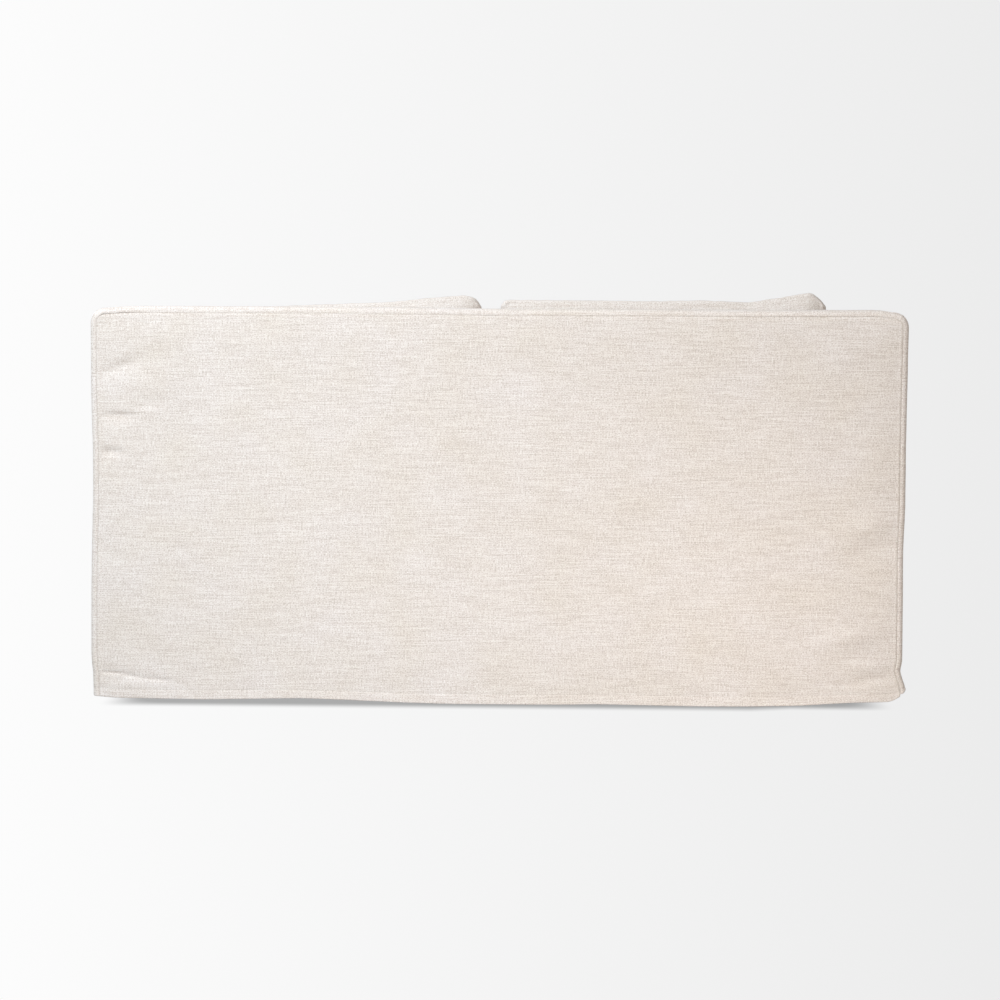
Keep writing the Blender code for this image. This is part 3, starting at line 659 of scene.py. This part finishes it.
for word, side, hem in (("left", -1, LEFT_HEM), ("right", 1, RIGHT_HEM)):

    def outer_end(along, up):
        return end_out(side, up) * (1 - share(along, BACK_DEPTH, DEPTH))

    def outside_arm_place(along, up):
        height, inward = hung(up, eased(along, hem, 1, 0.005))
        in_front, in_top = rounded_off(ARM_FRONT_SEAM - along, ARM_TOP_SEAM - height, SEAM_CORNER)
        y, z = along - in_front, height - in_top
        x = side * (WIDTH / 2 + outer_end(y, z) - inward)
        return np.stack((x, y, z), 1), facing((side, 0, 0), len(x))

    def outside_arm_relief(along, up):
        ends, top = np.minimum(ARM_FRONT_SEAM - along, along - ARM_START), ARM_TOP_SEAM - up
        near = np.minimum(ends, top)
        made = seam_relief(near, np.where(ends < top, up, along), 30.0 + side, 0.6)
        made = np.where(up < 0, 0.0, made + hem_relief(up, along, 33.0))
        level = np.maximum(up, 0.0)
        slack = 0.0016 * unevenness(along, level, 0.210, 31.0 + side)
        slack = slack + 0.0006 * unevenness(along, level, 0.085, 35.0)
        return made + slack * share(near, 0.0, 0.060)

    piece = cut_cloth(
        "outside_arm_panel_" + word,
        seamed(ARM_START, ARM_FRONT_SEAM, 0.014),
        hemmed(ARM_TOP_SEAM, 0.014, (0.027, 0.060, 0.006)),
        outside_arm_place,
        outside_arm_relief,
        (side, 0, 0),
    )
    sewn_in(piece, "outside_arm_" + word)
    front, top = ARM_FRONT_SEAM - STITCH_INSET, ARM_TOP_SEAM - STITCH_INSET
    topstitch(outside_arm_place, outside_arm_relief, (ARM_START, top), (front, top), (front, STITCH_START))

    def inside_arm_place(along, up):
        in_front, in_top = rounded_off(ARM_FRONT_SEAM - along, ARM_TOP_SEAM - up, SEAM_CORNER)
        x = side * SEAT_HALF + 0 * along
        return np.stack((x, along - in_front, up - in_top), 1), facing((-side, 0, 0), len(x))

    def inside_arm_relief(along, up):
        ends = np.minimum(ARM_FRONT_SEAM - along, along - ARM_START)
        levels = np.minimum(ARM_TOP_SEAM - up, up - DECK_SEAM)
        near = np.minimum(ends, levels)
        slack = 0.0012 * unevenness(along, up, 0.180, 37.0 + side)
        made = seam_relief(near, np.where(ends < levels, up, along), 39.0, 0.6)
        return made + slack * share(near, 0.0, 0.050)

    piece = cut_cloth(
        "inside_arm_panel_" + word,
        seamed(ARM_START, ARM_FRONT_SEAM, 0.015),
        seamed(DECK_SEAM, ARM_TOP_SEAM, 0.015),
        inside_arm_place,
        inside_arm_relief,
        (-side, 0, 0),
    )
    sewn_in(piece, "inside_arm_" + word)
    topstitch(inside_arm_place, inside_arm_relief, (ARM_START, top), (front, top), (front, DECK_SEAM))

    def arm_strip(across, y, z, out):
        """Places on the strip round an arm: its flat face would lie at y and z and look out."""
        inset, along, n_out, n_along = rolled(across, ARM_WIDTH)
        y, z = y - out[:, 1] * inset, z - out[:, 2] * inset
        x = side * (WIDTH / 2 - along + (1 - share(along, 0.0, ARM_WIDTH)) * outer_end(y, z))
        return np.stack((x, y, z), 1), out * n_out[:, None] + np.outer(n_along, (-side, 0.0, 0.0))

    def arm_top_place(across, along):
        bend = np.clip((along - ARM_TURN) / CORNER, 0.0, pi / 2)
        out = np.stack((0 * bend, np.sin(bend), np.cos(bend)), 1)
        y = np.minimum(along, ARM_TURN) + CORNER * np.sin(bend)
        z = ARM_HEIGHT - CORNER * (1 - np.cos(bend)) - np.clip(along - ARM_TURN - TURN_LENGTH, 0.0, None)
        return arm_strip(across, y, z, out)

    def arm_top_relief(across, along):
        made = strip_relief(across, ARM_WIDTH, along, 42.0 + side)
        ends = np.minimum(along - ARM_START, ARM_TURN + TURN_LENGTH + TAIL - along)
        slack = 0.0014 * unevenness(across, along, 0.150, 45.0 + side)
        return made + seam_relief(ends, across, 43.0) + slack * share(ends, 0.0, 0.080)

    piece = cut_cloth(
        "arm_top_strip_" + word,
        strip_lines(ARM_WIDTH),
        seamed(ARM_START, ARM_TURN + TURN_LENGTH + TAIL, 0.014, (ARM_TURN, DEPTH, 0.0025)),
        arm_top_place,
        arm_top_relief,
        (0, 0, 1),
    )
    sewn_in(piece, "arm_top_" + word)

    def arm_front_place(across, up):
        x = side * (WIDTH / 2 - rolled(across, ARM_WIDTH)[1])
        height, inward = hung(up, eased(x, FRONT_HEM, 1, 0.005))
        points, normals = arm_strip(across, 0 * x + DEPTH, height, facing((0, 1, 0), len(x)))
        return points - normals * inward[:, None], normals

    def arm_front_relief(across, up):
        made = strip_relief(across, ARM_WIDTH, up, 48.0 + side)
        made = np.where(up < 0, 0.0, made + hem_relief(up, across, 49.0))
        return made + seam_relief(FRONT_JOIN - up, across, 50.0)

    piece = cut_cloth(
        "arm_front_panel_" + word,
        strip_lines(ARM_WIDTH),
        hemmed(FRONT_JOIN, 0.014, (0.027, 0.060, 0.006)),
        arm_front_place,
        arm_front_relief,
        (0, 1, 0),
    )
    sewn_in(piece, "arm_front_" + word)
    join = FRONT_JOIN - STITCH_INSET
    topstitch(arm_front_place, arm_front_relief, (0.006, join), (whole(ARM_WIDTH) - 0.006, join))


# ---- Seat platform and front ----
# The platform under the loose cushions rolls over the front edge of the seat, and the front panel hangs from
# it between the arms, down to its hem.

APRON_FRONT = DEPTH - ROLL - TAIL
DECK_SIDE = SEAT_HALF - GAP
DECK_ROLL = APRON_FRONT - ROLL
DECK_END = DECK_ROLL + ROLL * pi / 2 + TAIL
APRON_TOP = DECK_HEIGHT - ROLL - TAIL


def deck_place(across, along):
    bend = np.clip((along - DECK_ROLL) / ROLL, 0.0, pi / 2)
    y = np.minimum(along, DECK_ROLL) + ROLL * np.sin(bend)
    z = DECK_HEIGHT - ROLL * (1 - np.cos(bend)) - np.clip(along - DECK_ROLL - ROLL * pi / 2, 0.0, None)
    return np.stack((across, y, z), 1), np.stack((0 * bend, np.sin(bend), np.cos(bend)), 1)


def deck_relief(across, along):
    near = np.minimum(DECK_SIDE - abs(across), np.minimum(along - ARM_START, DECK_END - along))
    return seam_relief(near, np.where(along > DECK_ROLL, across, along), 60.0, 0.7) + 0.0007


deck = cut_cloth(
    "seat_platform",
    seamed(-DECK_SIDE, DECK_SIDE, 0.018),
    seamed(ARM_START, DECK_END, 0.018, (DECK_ROLL - 0.002, DECK_END, 0.0017)),
    deck_place,
    deck_relief,
    (0, 0, 1),
)
sewn_in(deck, "seat_deck")


def apron_place(across, up):
    height, inward = hung(up, eased(across, FRONT_HEM, 1, 0.012))
    return np.stack((across, APRON_FRONT - inward, height), 1), facing((0, 1, 0), len(across))


def apron_relief(across, up):
    sides, top = DECK_SIDE - abs(across), APRON_TOP - up
    near = np.minimum(sides, top)
    made = seam_relief(near, np.where(sides < top, up, across), 63.0, 0.7)
    made = np.where(up < 0, 0.0, made + hem_relief(up, across, 64.0))
    level = np.maximum(up, 0.0)
    slack = 0.0014 * unevenness(across, level, 0.170, 65.0)
    slack = slack + 0.0006 * unevenness(across, level * 0.5, 0.060, 66.0)
    return made + slack * share(near, 0.0, 0.050)


apron = cut_cloth(
    "front_panel",
    seamed(-DECK_SIDE, DECK_SIDE, 0.014),
    hemmed(APRON_TOP, 0.012, (0.027, 0.060, 0.006)),
    apron_place,
    apron_relief,
    (0, 1, 0),
)
sewn_in(apron, "front_apron")
low, high, top = -DECK_SIDE + STITCH_INSET, DECK_SIDE - STITCH_INSET, APRON_TOP - STITCH_INSET
corners = (low, STITCH_START), (low, top), (high, top), (high, STITCH_START)
topstitch(apron_place, apron_relief, *corners)


# ---- Topstitching ----
# One stitch of polyester thread shows 3.3 mm long and tapers where it enters the cloth. The needle leaves one
# every 4.4 mm along the seams.

bpy.ops.object.select_all(action="DESELECT")
bpy.ops.mesh.primitive_ico_sphere_add(subdivisions=1, radius=1.0)
thread = bpy.context.object
one = np.array([v.co for v in thread.data.vertices])
one_faces = np.array([p.vertices[:] for p in thread.data.polygons])
starts, ends, normals = (np.concatenate([run[k] for run in stitches]) for k in range(3))
lengthways = ends - starts
lengthways /= np.linalg.norm(lengthways, axis=1)[:, None]
sideways = np.cross(normals, lengthways)
middles = (starts + ends) / 2 + normals * 0.0001
points = middles[:, None, :] + (
    one[None, :, :1] * (STITCH_LENGTH / 2 + 0.0003) * lengthways[:, None, :]
    + one[None, :, 1:2] * THREAD_RADIUS * sideways[:, None, :]
    + one[None, :, 2:] * THREAD_RADIUS * normals[:, None, :]
)
faces = one_faces[None] + (len(one) * np.arange(len(starts)))[:, None, None]
sewn = bpy.data.meshes.new("topstitching")
sewn.from_pydata(points.reshape(-1, 3).tolist(), [], faces.reshape(-1, 3).tolist())
thread.data = sewn
thread.name = "topstitching"
bpy.ops.object.shade_smooth()

# Spun polyester thread, dyed cream: a little darker and smoother than the cloth, with a fine twist. Part of
# its darkness is painted shade, standing in for the shaded needle holes at each stitch.
spun = bpy.data.materials.new("spun polyester thread")
spun.use_nodes = True
tree = spun.node_tree
shader = tree.nodes["Principled BSDF"]
shader.inputs["Roughness"].default_value = 0.7
place = add_node(tree, "ShaderNodeTexCoord").outputs["Object"]
fuzz = add_node(tree, "ShaderNodeTexNoise", {"Scale": 600.0, "Detail": 1.0}, {"Vector": place}).outputs["Fac"]
shades = {6: colour("BDB0A2"), 7: colour("DDD3C8")}
twist = add_node(tree, "ShaderNodeMix", shades, {0: fuzz}, data_type="RGBA")
tree.links.new(twist.outputs[2], shader.inputs["Base Color"])
sewn.materials.append(spun)
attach(thread, "root")


# ---- Seat cushions ----
# Two boxed cushions lie on the platform: a filling of foam wrapped in fibre, in covers of the same cloth,
# with a seam round the upper and the lower edge. Under the back cushions and beside the arms they are pressed
# flat.

# The same linen-look upholstery cloth, woven and finished as above. White filling shines through it from
# inside, so the eye gets it a touch paler and less warm.
cushion_cloth = slub_cloth("linen-look slub weave over a soft filling", "FFFFFF", "FBF9F6")
SEAT_CUSHION_HEIGHT, SEAT_CUSHION_FRONT = 0.150, 0.944
SEAT_CUSHION_ROUND, SEAT_CUSHION_CROWN = 0.024, 0.007  # radius of its edges, and bulge before it is filled
SEAT_BOTTOM = DECK_HEIGHT + GAP
SEAT_TOP = SEAT_BOTTOM + 0.162
PUFF, PUFF_STEPS = 4.0, 20  # air pressure that fills a cover, and the steps it takes
SEAM_SINK, NEAR_SINK = 0.0022, 0.0006  # how far a cushion's seam sinks, and the cloth beside it


def filled(name, columns, rows, layers, place, tall=1.0):
    """A cushion's cover as a closed form: its first panel, its sides and its second panel. Its UV map is the
    flat cloth of each in metres; tall is how many metres of cloth one step of the rows is."""
    bpy.ops.object.select_all(action="DESELECT")
    counts = len(columns) - 1, len(rows) - 1
    bpy.ops.mesh.primitive_grid_add(x_subdivisions=counts[0], y_subdivisions=counts[1], size=1)
    piece = bpy.context.object
    piece.name = piece.data.name = name
    bpy.ops.object.mode_set(mode="EDIT")
    bpy.ops.mesh.select_all(action="SELECT")
    for _ in layers[1:]:
        bpy.ops.mesh.extrude_region_move(TRANSFORM_OT_translate={"value": (0, 0, 1)})
    bpy.ops.mesh.select_all(action="SELECT")
    bpy.ops.mesh.normals_make_consistent(inside=False)
    bpy.ops.object.mode_set(mode="OBJECT")
    mesh = piece.data
    flat = np.zeros(len(mesh.vertices) * 3)
    mesh.vertices.foreach_get("co", flat)
    flat = flat.reshape(-1, 3)
    i = np.rint((flat[:, 0] + 0.5) * counts[0]).astype(int)
    j = np.rint((flat[:, 1] + 0.5) * counts[1]).astype(int)
    k = np.rint(flat[:, 2]).astype(int)
    corners = np.zeros(len(mesh.loops), int)
    mesh.loops.foreach_get("vertex_index", corners)
    # Extruding leaves points and faces in no fixed order. They are put in one, so that each run fills the
    # cover alike.
    order = np.lexsort((i, j, k))
    quads = np.argsort(order)[corners.reshape(-1, 4)]
    quads = np.array([np.roll(quad, -quad.argmin()) for quad in quads])
    quads = quads[np.lexsort(quads.T[::-1])]
    i, j, k = i[order], j[order], k[order]
    u, w, layer = columns[i], rows[j], layers[k]
    mesh.clear_geometry()
    mesh.from_pydata((place(u, w, layer) + np.array((0.0, BACK, FLOOR))).tolist(), [], quads.tolist())
    panel, end = np.ptp(k[quads], axis=1) == 0, np.ptp(i[quads], axis=1) == 0
    maps = [np.stack(pair, 1)[quads] for pair in ((u, w * tall), (w * tall + 2.0, layer), (u + 4.0, layer))]
    chosen = np.where(panel[:, None, None], maps[0], np.where(end[:, None, None], maps[1], maps[2]))
    mesh.uv_layers.new(name="cloth").data.foreach_set("uv", chosen.ravel())
    border = (i == 0) | (i == counts[0]) | (j == 0) | (j == counts[1])
    mesh.update()
    return piece, border, k


def blown_up(piece, seams, held, farthest, low, high):
    """Fills a cushion: its cover is blown up as cloth, no point moves far, and it lies flat against low and
    high. The seams sink between the panels."""
    mesh = piece.data
    before = np.array([v.co for v in mesh.vertices])
    sewn_edge = piece.vertex_groups.new(name="seam")
    sewn_edge.add([int(n) for n in np.flatnonzero(seams)], 1.0, "REPLACE")
    pinned = piece.vertex_groups.new(name="pinned")
    pinned.add([int(n) for n in np.flatnonzero(held)], 1.0, "REPLACE")
    air = piece.modifiers.new("filling", "CLOTH")
    air.settings.quality = 5
    air.settings.mass = 0.3
    air.settings.vertex_group_mass = "pinned"
    air.settings.use_pressure = True
    air.settings.uniform_pressure_force = PUFF
    air.settings.shrink_min = -0.025
    air.settings.effector_weights.gravity = 0.0
    air.collision_settings.use_collision = False
    for step in range(1, PUFF_STEPS + 1):
        bpy.context.scene.frame_set(step)
    bpy.ops.object.modifier_apply(modifier=air.name)
    bpy.context.scene.frame_set(1)
    moved = np.array([v.co for v in mesh.vertices]) - before
    length = np.linalg.norm(moved, axis=1)[:, None] + 1e-9
    after = before + moved * farthest * np.tanh(length / farthest) / length
    shift = np.array((0.0, BACK, FLOOR))
    mesh.vertices.foreach_set("co", np.clip(after, np.array(low) + shift, np.array(high) + shift).ravel())
    smooth = piece.modifiers.new("smooth", "SUBSURF")
    smooth.levels = smooth.render_levels = 1
    bpy.ops.object.modifier_apply(modifier=smooth.name)
    group = piece.vertex_groups["seam"].index
    weight = np.array([max([g.weight for g in v.groups if g.group == group] or [0.0]) for v in mesh.vertices])
    points, normals = np.array([v.co for v in mesh.vertices]), np.array([v.normal for v in mesh.vertices])
    pull = 1 + 0.5 * unevenness(points[:, 0] + points[:, 1], points[:, 2], 0.020, 70.0)
    sink = pull * np.where(weight > 0.9, SEAM_SINK, np.where(weight > 0.2, NEAR_SINK, 0.0))
    mesh.vertices.foreach_set("co", (points - normals * sink[:, None]).ravel())
    mesh.update()
    bpy.ops.object.shade_smooth()


def finished_cushion(piece, node):
    """A finished cushion takes its cloth, hangs from the root, and stands for its node."""
    piece.data.materials.append(cushion_cloth)
    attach(piece, "root")
    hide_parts(node)


for word, low, high in (("left", -0.746, -0.002), ("right", 0.002, 0.746)):
    rear, rise = BACK_DEPTH + 0.004, SEAT_CUSHION_HEIGHT
    centre = np.array(((low + high) / 2, (rear + SEAT_CUSHION_FRONT) / 2, SEAT_BOTTOM + rise / 2))
    half = np.array(((high - low) / 2 - 0.003, (SEAT_CUSHION_FRONT - rear) / 2 - 0.003, rise / 2))

    def seat_cushion_place(u, w, layer):
        flat = np.stack((u, w, layer - half[2]), 1)
        core = np.clip(flat, SEAT_CUSHION_ROUND - half, half - SEAT_CUSHION_ROUND)
        away = flat - core
        away /= np.linalg.norm(away, axis=1)[:, None]
        skin = core + away * SEAT_CUSHION_ROUND
        crown = SEAT_CUSHION_CROWN * (1 - (u / half[0]) ** 4) * (1 - (w / half[1]) ** 4)
        skin[:, 2] += crown * np.clip(skin[:, 2] / half[2], 0.0, 1.0)
        return centre + skin

    grid = [
        lines(start, end, 0.013, (start, start + 0.012, 0.006), (end - 0.012, end, 0.006))
        for start, end in ((-half[0], half[0]), (-half[1], half[1]), (0.0, rise))
    ]
    piece, border, k = filled("seat_cushion_cover_" + word, *grid, seat_cushion_place)
    seams = border & ((k == 0) | (k == k.max()))
    blown_up(
        piece,
        seams,
        seams,
        0.012,
        (low - 0.001, BACK_DEPTH + 0.0022, DECK_HEIGHT + 0.0002),
        (high + 0.001, SEAT_CUSHION_FRONT + 0.010, SEAT_TOP),
    )
    finished_cushion(piece, "seat_cushion_" + word)


# ---- Back cushions ----
# Two knife-edge cushions, softly filled with fibre, stand on the seat cushions and lean against the back.
# Each cover is two panels sewn together round the edge, whose upper corners stand up like ears.

BACK_CUSHION_SEAM, BACK_CUSHION_RIM = 0.2433, 0.003  # depth of the sewn edge, and half its thickness
DRAWN_IN = 0.010  # how far the sides pull in between the corners
BACK_SWELL, FRONT_SWELL = 0.072, 0.088
BACK_CUSHION_TALL = 0.215  # half the height of a panel
EAR_FILL = 2.5  # how much faster the upper corners fill out from the sides than from the top
# How thick each half is beside the sewn edge, where little filling gets in: from the edge, thickness
KNIFE_EDGE = ((0.000, 0.007), (0.035, 0.027), (0.055, 0.045), (0.110, 0.120))
CUSHION_BOTTOM = SEAT_TOP + GAP
# Height of the sewn edge along the top: across, up
LEFT_CUSHION_TOP = (
    (-0.740, 0.8620),
    (-0.650, 0.8730),
    (-0.400, 0.8848),
    (-0.250, 0.8910),
    (-0.140, 0.9028),
    (-0.088, 0.9066),
    (-0.070, 0.9054),
    (-0.057, 0.8984),
    (-0.046, 0.8810),
)
RIGHT_CUSHION_TOP = (
    (0.002, 0.8820),
    (0.008, 0.8950),
    (0.016, 0.8968),
    (0.035, 0.8972),
    (0.226, 0.8967),
    (0.340, 0.8955),
    (0.460, 0.8983),
    (0.567, 0.8942),
    (0.640, 0.9060),
    (0.690, 0.9152),
    (0.706, 0.9166),
    (0.716, 0.9115),
    (0.728, 0.9005),
    (0.740, 0.8860),
)

for word, top_edge in (("left", LEFT_CUSHION_TOP), ("right", RIGHT_CUSHION_TOP)):
    low, high = top_edge[0][0], top_edge[-1][0]
    middle, reach = (low + high) / 2, (high - low) / 2

    def back_cushion_place(u, w, layer):
        swollen = np.sqrt(np.clip((1 - (u / reach) ** 4) * (1 - w**4), 0.0, 1.0))
        swell = np.where(layer > 0, FRONT_SWELL, BACK_SWELL) * swollen + 1e-6
        from_side = (reach - abs(u)) * (1 + EAR_FILL * share(w, 0.0, 0.8))
        from_seam = np.hypot(1 / (from_side + 1e-6), 1 / ((1 - w) * BACK_CUSHION_TALL + 1e-6)) ** -1
        drawn_thin = eased(from_seam, KNIFE_EDGE)
        swell = (swell**-3 + drawn_thin**-3) ** (-1 / 3)
        y = BACK_CUSHION_SEAM + layer * (BACK_CUSHION_RIM + swell)
        x = middle + u * (1 - DRAWN_IN / reach * (1 - w**2))
        top = eased(x, top_edge, 1, 0.004)
        return np.stack((x, y, CUSHION_BOTTOM + (top - CUSHION_BOTTOM) * (w + 1) / 2), 1)

    piece, border, k = filled(
        "back_cushion_cover_" + word,
        lines(-reach, reach, 0.011, (-reach, -reach + 0.020, 0.0035), (reach - 0.050, reach, 0.0035)),
        lines(-1.0, 1.0, 0.050, (-1.0, -0.90, 0.025), (0.75, 0.95, 0.020), (0.95, 1.0, 0.0125)),
        np.array((-1.0, 0.0, 1.0)),
        back_cushion_place,
        BACK_CUSHION_TALL,
    )
    blown_up(
        piece,
        border & (k == 1),
        border,
        0.005,
        (low - 0.002, BACK_DEPTH + 0.0022, CUSHION_BOTTOM),
        (high + 0.002, BACK_CUSHION_SEAM + 0.110, 0.925),
    )
    finished_cushion(piece, "back_cushion_" + word)


# ---- Camera, floor and light ----
# A pale studio: a sweep of white paper on the floor and up behind, a little brighter on the left, with a grey
# room beside it and above. The light comes from five soft boxes, most of it from the upper left of the
# camera.

TARGET = Vector((0.0067, BACK, 0.4554 + FLOOR))
VIEW_DISTANCE, VIEW_UP, VIEW_RIGHT, VIEW_ROLL = 6.0, 3.4, 1.3807, 0.3329  # metres, and degrees
yaw, pitch = radians(VIEW_RIGHT), radians(VIEW_UP)
view_from = Vector((np.sin(yaw) * np.cos(pitch), -np.cos(yaw) * np.cos(pitch), np.sin(pitch)))
bpy.ops.object.camera_add(location=TARGET + view_from * VIEW_DISTANCE)
camera = bpy.context.object
camera.rotation_mode = "QUATERNION"
camera.rotation_quaternion = view_from.to_track_quat("Z", "Y") @ Quaternion((0, 0, 1), radians(VIEW_ROLL))
camera.data.lens = 97.917
camera.data.sensor_width = 36.0
bpy.context.scene.camera = camera
bpy.context.scene.view_settings.view_transform = "Standard"

PALE_LEFT, PALE_RIGHT, STUDIO_GREY = colour("FCFCFC"), colour("ECECEC"), (0.34, 0.34, 0.34, 1.0)
SWEEP_ACROSS, SWEEP_DEPTH = 0.151, -6.068  # the point from which the sweep spreads


def pale_backdrop(tree, across, depth):
    """The white sweep's brightness by how far to the side it lies, and how far each place lies beyond its
    edges, from 0 to 1."""
    depth = add_node(tree, "ShaderNodeMath", {1: 0.001}, {0: depth}, operation="MAXIMUM").outputs[0]
    slope = add_node(tree, "ShaderNodeMath", links={0: across, 1: depth}, operation="DIVIDE").outputs[0]
    ends = {"From Min": -0.208, "From Max": 0.160}
    level = add_node(tree, "ShaderNodeMapRange", ends, {"Value": slope}).outputs[0]
    tints = {6: PALE_LEFT, 7: PALE_RIGHT}
    tint = add_node(tree, "ShaderNodeMix", tints, {0: level}, data_type="RGBA").outputs[2]
    aside = add_node(tree, "ShaderNodeMath", links={0: slope}, operation="ABSOLUTE").outputs[0]
    ends = {"From Min": 0.235, "From Max": 0.34}
    return tint, add_node(tree, "ShaderNodeMapRange", ends, {"Value": aside}).outputs[0]


bpy.ops.object.select_all(action="DESELECT")
bpy.ops.mesh.primitive_circle_add(vertices=64, radius=40.0, fill_type="NGON", location=(0, 0, FLOOR))
floor = bpy.context.object
floor.name = "studio_floor"
bpy.ops.object.transform_apply(location=True)

# Matt coated paper off a wide roll, evenly lit: the eye gets a plain pale grey with no grain, and a soft
# painted shadow round the cover.
paper = bpy.data.materials.new("matt white paper")
paper.use_nodes = True
tree = paper.node_tree
tree.nodes.remove(tree.nodes["Principled BSDF"])
place = add_node(tree, "ShaderNodeTexCoord").outputs["Object"]
parts = add_node(tree, "ShaderNodeSeparateXYZ", links={0: place})
from_start = [
    add_node(tree, "ShaderNodeMath", {1: start}, {0: parts.outputs[axis]}, operation="SUBTRACT").outputs[0]
    for axis, start in (("X", SWEEP_ACROSS), ("Y", SWEEP_DEPTH))
]
tint, aside = pale_backdrop(tree, *from_start)
tint = add_node(tree, "ShaderNodeMix", {7: STUDIO_GREY}, {0: aside, 6: tint}, data_type="RGBA").outputs[2]


def outside(along, middle, half):
    """How far outside the stretch of painted shadow the floor lies along one axis."""
    away = add_node(tree, "ShaderNodeMath", {1: middle}, {0: along}, operation="SUBTRACT").outputs[0]
    away = add_node(tree, "ShaderNodeMath", links={0: away}, operation="ABSOLUTE").outputs[0]
    return add_node(tree, "ShaderNodeMath", {1: half}, {0: away}, operation="SUBTRACT").outputs[0]


# A shadow is painted on the paper under the cover and, softly, close round it. The painted shadow ends a
# little short of the cover's ends, and reaches a little less far out at the right, where the hem hangs
# higher.
ends = {"From Min": 0.56, "From Max": 0.65, "To Max": 0.032}
shorter = add_node(tree, "ShaderNodeMapRange", ends, {"Value": parts.outputs["X"]}).outputs[0]
deep = outside(parts.outputs["Y"], BACK + DEPTH / 2, DEPTH / 2)
deep = add_node(tree, "ShaderNodeMath", links={0: deep, 1: shorter}, operation="ADD").outputs[0]
wide = outside(parts.outputs["X"], 0.0, 0.80)
away = add_node(tree, "ShaderNodeMath", {2: 0.1}, {0: deep, 1: wide}, operation="SMOOTH_MAX").outputs[0]
# How dark the painted shadow gets: the paper glows at 0.44 of its tint under the cover, and fully once clear
# of it.
level = {"From Min": -0.012, "From Max": 0.084, "To Min": 0.44}
level = add_node(tree, "ShaderNodeMapRange", level, {"Value": away}, interpolation_type="SMOOTHSTEP")
glow = add_node(tree, "ShaderNodeEmission", links={"Color": tint, "Strength": level.outputs[0]})
tree.links.new(glow.outputs[0], tree.nodes["Material Output"].inputs["Surface"])
floor.data.materials.append(paper)
paper.cycles.emission_sampling = "NONE"
floor.visible_diffuse = False  # two low soft boxes stand in for its even bounce

# The sweep goes on behind the floor's edge, and the room above and beside it is grey.
world = bpy.data.worlds.new("studio")
bpy.context.scene.world = world
world.use_nodes = True
tree = world.node_tree
sky = tree.nodes["Background"]
place = add_node(tree, "ShaderNodeTexCoord").outputs["Generated"]
parts = add_node(tree, "ShaderNodeSeparateXYZ", links={0: place})
tint, aside = pale_backdrop(tree, parts.outputs["X"], parts.outputs["Y"])
ends = {"From Min": 0.20, "From Max": 0.42}
high = add_node(tree, "ShaderNodeMapRange", ends, {"Value": parts.outputs["Z"]}).outputs[0]
beyond = add_node(tree, "ShaderNodeMath", links={0: high, 1: aside}, operation="MAXIMUM").outputs[0]
room = add_node(tree, "ShaderNodeMix", {7: STUDIO_GREY}, {0: beyond, 6: tint}, data_type="RGBA")
tree.links.new(room.outputs[2], sky.inputs["Color"])

# Soft boxes: place, size, power, and colour
LIT_POINT = Vector((0, 0, -0.4))
SOFT_BOXES = (
    ((-1.9, -2.7, 1.7), 2.0, 97.0, "ECF6FF"),  # the main one
    ((-0.4, -1.5, -0.80), 0.8, 6.9, "F6FAFF"),  # two low ones, for the floor's bounce
    ((0.8, -1.0, -0.85), 0.5, 3.3, "FFEBD8"),
    ((1.6, -2.6, 1.5), 1.6, 12.5, "FFE7CE"),  # a warm one on the right
    ((-1.3, 0.2, 2.5), 2.4, 36.0, "F4F8FF"),  # one overhead
)
for place, size, power, hue in SOFT_BOXES:
    bpy.ops.object.light_add(type="AREA", location=place)
    box = bpy.context.object
    box.rotation_mode = "QUATERNION"
    box.rotation_quaternion = (Vector(place) - LIT_POINT).to_track_quat("Z", "Y")
    box.data.size, box.data.energy = size, power
    box.data.color = colour(hue)[:3]
